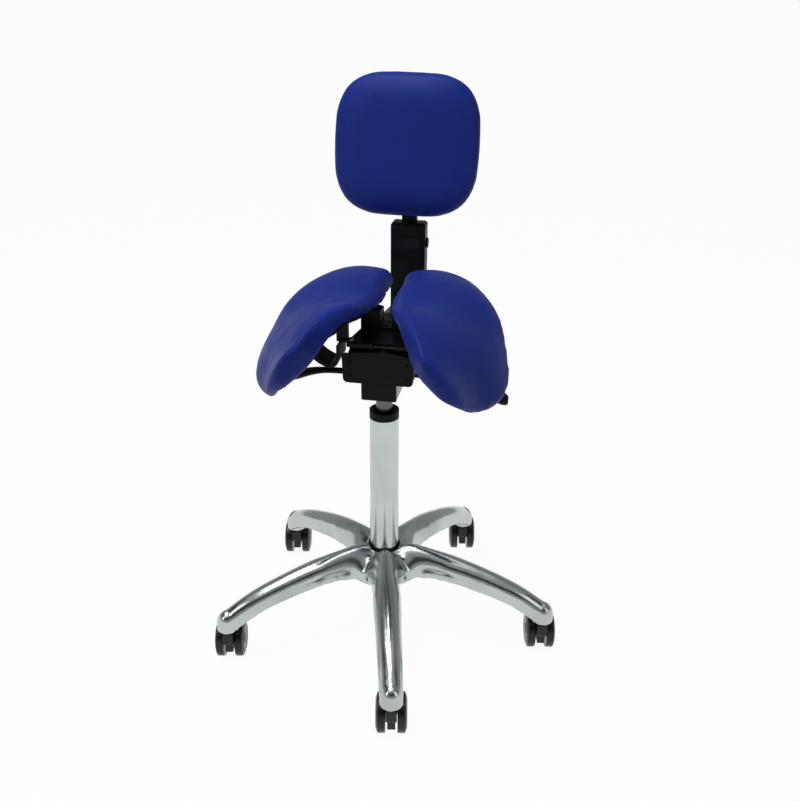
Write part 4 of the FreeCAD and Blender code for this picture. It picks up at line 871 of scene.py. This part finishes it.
@dataclass
class StarCasting:
    """The polished star base, with filleted webs between its legs.

    A ring of four-sided section is added around the hub and melted into the legs by smoothing,
    which fades out towards the bore, along the legs, on their crests and in their hollows.
    """

    legs: int = 5
    front_leg: float = math.radians(-76.86)
    voxel: float = 0.0024
    bore: float = 0.036
    web_start: float = 0.046
    web_end: float = 0.085
    plain_from: float = 0.125
    crest_from: float = 0.62
    crest_to: float = 0.93
    wall_half: float = 0.02
    all_rounds: int = 5
    web_rounds: int = 260
    pull: float = 0.5
    push: float = 0.52
    web_inner: float = 0.035
    web_outer: float = 0.070
    web_bottom: float = 0.133
    web_inner_top: float = 0.170
    web_outer_top: float = 0.150
    web_sides: int = 80

    def build(self) -> None:
        """Makes the casting."""
        piece = Shape.copy_of("base_star", "star_casting")
        self._add_web(piece.data)
        Shape.remesh(piece, self.voxel)
        mesh = piece.data
        places = Shape.relaxed(mesh, Shape.places(mesh), self.all_rounds, self.pull, self.push)
        Shape.put(mesh, places)
        weights = self._weights(places, Shape.normals(mesh))
        Shape.put(mesh, Shape.relaxed(mesh, places, self.web_rounds, self.pull, weights=weights))
        Shape.round_off(piece)
        Shape.hand_over(piece, Finishes.CASTING, Slot.CASTING, Body.BASE, ["base_star"])

    def _add_web(self, mesh: bpy.types.Mesh) -> None:
        """Adds the web that joins the legs around the hub.

        Args:
            mesh: the casting's mesh, before it is rebuilt from voxels.
        """
        section = ((self.web_inner, self.web_bottom), (self.web_outer, self.web_bottom),
                   (self.web_outer, self.web_outer_top), (self.web_inner, self.web_inner_top))
        work = bmesh.new()
        work.from_mesh(mesh)
        rings = []
        for step in range(self.web_sides):
            turn = 2.0 * math.pi * step / self.web_sides
            rings.append([work.verts.new((reach * math.cos(turn), reach * math.sin(turn), height))
                          for reach, height in section])
        for one, two in zip(rings, rings[1:] + rings[:1]):
            for k in range(len(section)):
                after = (k + 1) % len(section)
                work.faces.new((one[k], two[k], two[after], one[after]))
        work.normal_update()
        work.to_mesh(mesh)
        work.free()

    def _weights(self, places: np.ndarray, normals: np.ndarray) -> np.ndarray:
        """How much each vertex takes part in the smoothing of the webs, from 0 to 1."""
        distance = np.hypot(places[:, X], places[:, Y])
        rise = ramp(distance, self.bore, self.web_start)
        fall = ramp(distance, self.plain_from, self.web_end)
        crest = ramp(normals[:, Z], self.crest_from, self.crest_to)
        return self._outer(places, normals) * rise * fall * (1.0 - crest)

    def _outer(self, places: np.ndarray, normals: np.ndarray) -> np.ndarray:
        """1 on the casting's outside and 0 in the hollows under its legs."""
        step = 2.0 * math.pi / self.legs
        turn = np.arctan2(places[:, Y], places[:, X]) - self.front_leg
        nearest = self.front_leg + np.round(turn / step) * step
        across = -np.sin(nearest) * places[:, X] + np.cos(nearest) * places[:, Y]
        facing = -np.sin(nearest) * normals[:, X] + np.cos(nearest) * normals[:, Y]
        outward = facing * across / self.wall_half + normals[:, Z]
        return np.where(outward > 0.0, 1.0, 0.0)


@dataclass(frozen=True)
class ScrewSize:
    """A domed socket-head screw."""

    head_radius: float
    head_height: float
    socket_radius: float
    shank_radius: float
    shank_length: float


class ScrewTree:
    """Geometry Nodes that set one screw on every point, along the point's axis."""

    SIZES = tuple(part.name for part in fields(ScrewSize))
    HEAD_SEGMENTS = 40
    HEAD_RINGS = 20
    SOCKET_SIDES = 6
    SHANK_SIDES = 24
    CUT_WIDTH = 4.0
    CUT_HEIGHT = 2.0
    SOCKET_HEIGHT = 2.0
    SOCKET_MIDDLE = 1.35

    def __init__(self) -> None:
        """Builds the tree."""
        self.tree = bpy.data.node_groups.new("screws_on_points", "GeometryNodeTree")
        face = self.tree.interface
        face.new_socket("Geometry", in_out="INPUT", socket_type="NodeSocketGeometry")
        for name in self.SIZES:
            face.new_socket(name, in_out="INPUT", socket_type="NodeSocketFloat")
        face.new_socket("finish", in_out="INPUT", socket_type="NodeSocketMaterial")
        face.new_socket("Geometry", in_out="OUTPUT", socket_type="NodeSocketGeometry")
        graph = Graph(self.tree)
        source = graph.add("NodeGroupInput").socket.node
        given = {name: Sock(graph, source.outputs[name])
                 for name in ("Geometry", *self.SIZES, "finish")}
        axis = graph.add("GeometryNodeInputNamedAttribute", {"data_type": "FLOAT_VECTOR"},
                         {"Name": "axis"})
        turn = graph.add("FunctionNodeAlignRotationToVector", {"axis": "Z"}, {"Vector": axis})
        placed = graph.add("GeometryNodeInstanceOnPoints", {},
                           {"Points": given["Geometry"], "Instance": self._screw(graph, given),
                            "Rotation": turn})
        real = graph.add("GeometryNodeRealizeInstances", {}, {"Geometry": placed})
        dressed = graph.add("GeometryNodeSetMaterial", {},
                            {"Geometry": real, "Material": given["finish"]})
        graph.add("NodeGroupOutput", {}, {"Geometry": dressed})

    @staticmethod
    def _vector(graph: Graph, x: Any, y: Any, z: Any) -> Sock:
        """A vector of numbers or sockets."""
        return graph.add("ShaderNodeCombineXYZ", {}, {"X": x, "Y": y, "Z": z})

    def _raised(self, graph: Graph, shape: Sock, height: Sock) -> Sock:
        """A shape moved along Z."""
        return graph.add("GeometryNodeTransform", {},
                         {"Geometry": shape, "Translation": self._vector(graph, 0.0, 0.0, height)})

    def _screw(self, graph: Graph, given: Mapping[str, Sock]) -> Sock:
        """One screw at the origin, its head upwards.

        Args:
            graph: the tree's graph.
            given: the tree's inputs.

        Returns:
            The screw's geometry.
        """
        radius, height = given["head_radius"], given["head_height"]
        ball = graph.add("GeometryNodeMeshUVSphere", {},
                         {"Segments": self.HEAD_SEGMENTS, "Rings": self.HEAD_RINGS, "Radius": 1.0})
        dome = graph.add("GeometryNodeTransform", {},
                         {"Geometry": ball, "Scale": self._vector(graph, radius, radius, height)})
        width = radius * self.CUT_WIDTH
        block = graph.add("GeometryNodeMeshCube", {},
                          {"Size": self._vector(graph, width, width, height * self.CUT_HEIGHT)})
        head = graph.add("GeometryNodeMeshBoolean", {"operation": "INTERSECT", "solver": "EXACT"},
                         {"Mesh 2": [dome, self._raised(graph, block, height)]})
        driver = graph.add("GeometryNodeMeshCylinder", {},
                           {"Vertices": self.SOCKET_SIDES, "Radius": given["socket_radius"],
                            "Depth": height * self.SOCKET_HEIGHT})
        socket = self._raised(graph, driver, height * self.SOCKET_MIDDLE)
        cut = graph.add("GeometryNodeMeshBoolean", {"operation": "DIFFERENCE", "solver": "EXACT"},
                        {"Mesh 1": head, "Mesh 2": socket})
        length = given["shank_length"]
        bar = graph.add("GeometryNodeMeshCylinder", {},
                        {"Vertices": self.SHANK_SIDES, "Radius": given["shank_radius"],
                         "Depth": length})
        shank = self._raised(graph, bar, length * -0.5)
        return graph.add("GeometryNodeJoinGeometry", {}, {0: [shank, cut]})


@dataclass(frozen=True)
class ScrewSet:
    """Screws of one size on one body.

    Their shank length is given, not measured, and a screw's axis is the side of its solid's box
    that comes nearest to it. Two long screws of frame_screws are laid across for that reason.
    """

    name: str
    node: str
    size: ScrewSize
    finish: Finish
    slot: Slot
    body: Body

    def build(self, tree: bpy.types.NodeTree) -> None:
        """Sets the screws on their solids' seats, through the screws' nodes."""
        seats = sorted((self._seat(cloud) for cloud in self._clouds()), key=lambda s: tuple(s[0]))
        mesh = bpy.data.meshes.new(self.name)
        mesh.from_pydata([tuple(seat) for seat, _ in seats], [], [])
        axes = mesh.attributes.new("axis", "FLOAT_VECTOR", "POINT")
        axes.data.foreach_set("vector", [part for _, axis in seats for part in axis])
        piece = Shape.collect(self.name, mesh)
        modifier = piece.modifiers.new("screws", "NODES")
        modifier.node_group = tree
        values = {**asdict(self.size), "finish": self.finish.material()}
        for item in tree.interface.items_tree:
            if item.in_out == "INPUT" and item.name in values:
                modifier[item.identifier] = values[item.name]
        Shape.settle(piece)
        Shape.hand_over(piece, self.finish, self.slot, self.body, [self.node])

    def _clouds(self) -> Iterator[np.ndarray]:
        """Yields the vertices of each screw of the node, one row each."""
        work = Shape.welded(self.node)
        left = set(work.verts)
        while left:
            queue = [left.pop()]
            cloud = []
            while queue:
                vertex = queue.pop()
                cloud.append(tuple(vertex.co))
                linked = {edge.other_vert(vertex) for edge in vertex.link_edges} & left
                left -= linked
                queue.extend(linked)
            yield np.array(cloud)
        work.free()

    def _seat(self, cloud: np.ndarray) -> tuple[Vector, Vector]:
        """One screw's seat: its axis and the plane under its head.

        Args:
            cloud: the screw's vertices.

        Returns:
            The seat and the axis towards the head.
        """
        low, high = cloud.min(axis=0), cloud.max(axis=0)
        middle = (low + high) / 2.0
        length = self.size.head_height + self.size.shank_length
        along = int(np.argmin(np.abs((high - low) - length)))
        spread = np.delete(np.abs(cloud - middle), along, axis=1).max(axis=1)
        wide = cloud[spread > (self.size.shank_radius + self.size.head_radius) / 2.0, along]
        sign = 1.0 if wide.mean() > middle[along] else -1.0
        seat = middle.copy()
        seat[along] = wide.min() if sign > 0 else wide.max()
        axis = np.zeros(3)
        axis[along] = sign
        return Vector(seat), Vector(axis)


SCREW_SETS = (
    ScrewSet("cover_screw_set", "cover_screws",
             ScrewSize(3.6 * MM, 1.8 * MM, 1.35 * MM, 1.95 * MM, 9.5 * MM),
             Finishes.BLACK_STEEL, Slot.BLACK_STEEL, Body.LIFT_COLUMN),
    ScrewSet("frame_screw_set", "frame_screws",
             ScrewSize(5.2 * MM, 3.2 * MM, 2.1 * MM, 2.95 * MM, 10.0 * MM),
             Finishes.ZINC, Slot.ZINC, Body.SEAT_FRAME),
    ScrewSet("socket_bolt_set", "socket_bolts",
             ScrewSize(5.2 * MM, 3.2 * MM, 2.1 * MM, 2.95 * MM, 17.0 * MM),
             Finishes.ZINC, Slot.ZINC, Body.LIFT_COLUMN),
)


def dress_solids() -> None:
    """Gives every solid that stays its finish."""
    slots = {part["node"]: part["material_slot"] for part in frame["record"]["subparts"]}
    for node, piece in frame["nodes"].items():
        finish = Finishes.BY_NODE.get(node, Finishes.BY_SLOT[slots[node]])
        piece.data.materials.clear()
        piece.data.materials.append(finish.material())
    log.info("%d solids dressed", len(frame["nodes"]))


@dataclass(frozen=True)
class SoftBox:
    """A soft box light."""

    name: str
    at: Point
    aim: Point
    size: tuple[float, float]
    power: float

    def hang(self) -> None:
        """Hangs the box and turns it to its aim."""
        data = bpy.data.lights.new(self.name, "AREA")
        data.shape = "RECTANGLE"
        data.size, data.size_y = self.size
        data.energy = self.power
        lamp = bpy.data.objects.new(self.name, data)
        lamp.location = self.at
        forward = Vector(self.aim) - Vector(self.at)
        lamp.rotation_euler = forward.to_track_quat("-Z", "Y").to_euler()
        bpy.context.scene.collection.objects.link(lamp)


@dataclass(frozen=True)
class Flag:
    """A dark card that only polished surfaces show.

    Its ranges are the bearing from +X and the height above the horizon, in degrees.
    """

    name: str
    bearing: tuple[float, float]
    height: tuple[float, float]
    tone: float
    distance: float = 5.0
    steps: int = 12

    def hang(self) -> None:
        """Hangs the card around the stool."""
        row = self.steps + 1
        points = [self._point(i / self.steps, k / self.steps)
                  for k in range(row) for i in range(row)]
        faces = [(k * row + i, k * row + i + 1, (k + 1) * row + i + 1, (k + 1) * row + i)
                 for k in range(self.steps) for i in range(self.steps)]
        mesh = bpy.data.meshes.new(self.name)
        mesh.from_pydata(points, [], faces)
        card = Shape.collect(self.name, mesh)
        material, graph = new_material(self.name)
        dark = graph.add("ShaderNodeEmission", {}, {"Color": grey(self.tone)})
        graph.add("ShaderNodeOutputMaterial", {}, {"Surface": dark})
        mesh.materials.append(material)
        card.visible_camera = False
        card.visible_diffuse = False
        card.visible_shadow = False

    def _point(self, across: float, up: float) -> Point:
        """A point of the card, for shares of its two ranges."""
        turn = math.radians(self.bearing[0] + across * (self.bearing[1] - self.bearing[0]))
        rise = math.radians(self.height[0] + up * (self.height[1] - self.height[0]))
        return (self.distance * math.cos(turn) * math.cos(rise),
                self.distance * math.sin(turn) * math.cos(rise),
                self.distance * math.sin(rise))


@dataclass
class Studio:
    """Floor, light and camera."""

    floor_half: float = 60.0
    floor_white: float = 0.86
    floor_glow: float = 0.965
    ambient: float = 0.27
    eye: Point = (0.2842, -1.4608, 1.158)
    heading: float = math.radians(10.0)
    pitch: float = math.radians(25.11)
    roll: float = math.radians(0.40)
    lens: float = 44.18
    sensor: float = 36.0
    boxes: tuple[SoftBox, ...] = (
        SoftBox("overhead", (-0.5, -0.3, 2.7), (0.0, 0.0, 0.5), (1.5, 1.5), 45.0),
        SoftBox("front_left", (-1.9, -1.7, 1.9), (0.0, 0.0, 0.5), (1.0, 1.4), 9.0),
        SoftBox("right_fill", (2.1, -0.9, 1.5), (0.0, 0.0, 0.4), (1.0, 1.4), 6.0),
    )
    flags: tuple[Flag, ...] = (
        Flag("flag_back_low", (15.0, 165.0), (3.0, 30.0), 0.36),
        Flag("flag_back_high", (15.0, 165.0), (30.0, 62.0), 0.26),
        Flag("flag_front_low", (165.0, 375.0), (12.0, 29.0), 0.34),
        Flag("flag_front_dark", (165.0, 375.0), (29.0, 46.0), 0.03),
        Flag("flag_front_high", (165.0, 375.0), (46.0, 66.0), 0.38),
    )

    def build(self) -> None:
        """Makes the studio."""
        self._floor()
        self._world()
        for box in self.boxes:
            box.hang()
        for flag in self.flags:
            flag.hang()
        self._camera()
        bpy.context.scene.view_settings.view_transform = "Standard"

    @staticmethod
    def _seen(graph: Graph) -> Sock:
        """1 on camera, glossy and transmission rays."""
        camera, glossy, through = (graph.add("ShaderNodeLightPath", out=name) for name in
                                   ("Is Camera Ray", "Is Glossy Ray", "Is Transmission Ray"))
        return camera.or_larger(glossy).or_larger(through)

    def _floor(self) -> None:
        """A plain pale floor that keeps a faint part of the stool's shadow."""
        half = self.floor_half
        mesh = bpy.data.meshes.new("studio_floor")
        mesh.from_pydata([(-half, -half, 0), (half, -half, 0), (half, half, 0), (-half, half, 0)],
                         [], [(0, 1, 2, 3)])
        floor = Shape.collect("studio_floor", mesh)
        material, graph = new_material("pale_floor")
        matt = graph.add("ShaderNodeBsdfDiffuse", {}, {"Color": grey(self.floor_white)})
        glow = graph.add("ShaderNodeEmission", {}, {"Strength": 1.0})
        share = self._seen(graph) * self.floor_glow
        surface = graph.add("ShaderNodeMixShader", {}, {0: share, 1: matt, 2: glow})
        graph.add("ShaderNodeOutputMaterial", {}, {"Surface": surface})
        mesh.materials.append(material)

    def _world(self) -> None:
        """White where it is seen, plain light elsewhere."""
        world = bpy.data.worlds.new("studio")
        world.use_nodes = True
        graph = Graph(world.node_tree)
        strength = self.ambient + self._seen(graph) * (1.0 - self.ambient)
        back = graph.add("ShaderNodeBackground", {}, {"Color": grey(1.0), "Strength": strength})
        graph.add("ShaderNodeOutputWorld", {}, {"Surface": back})
        bpy.context.scene.world = world

    def _camera(self) -> None:
        """Places the camera at the photograph's angle."""
        forward = Vector((-math.sin(self.heading) * math.cos(self.pitch),
                          math.cos(self.heading) * math.cos(self.pitch), -math.sin(self.pitch)))
        level = Vector((math.cos(self.heading), math.sin(self.heading), 0.0))
        upright = level.cross(forward)
        right = level * math.cos(self.roll) + upright * math.sin(self.roll)
        up = right.cross(forward)
        data = bpy.data.cameras.new("camera")
        data.lens = self.lens
        data.sensor_width = self.sensor
        camera = bpy.data.objects.new("camera", data)
        turn = Matrix((right, up, -forward)).transposed().to_4x4()
        camera.matrix_world = Matrix.Translation(Vector(self.eye)) @ turn
        bpy.context.scene.collection.objects.link(camera)
        bpy.context.scene.camera = camera


def main() -> None:
    """Builds the studio and the stool's pieces in order."""
    logging.basicConfig(level=logging.INFO, format="%(name)s %(message)s")
    Studio().build()
    dress_solids()
    StarCasting().build()
    tree = ScrewTree().tree
    for screws in SCREW_SETS:
        screws.build(tree)
    SeatHalves().build()
    BackrestCushion().build()


if __name__ == "__main__":
    main()
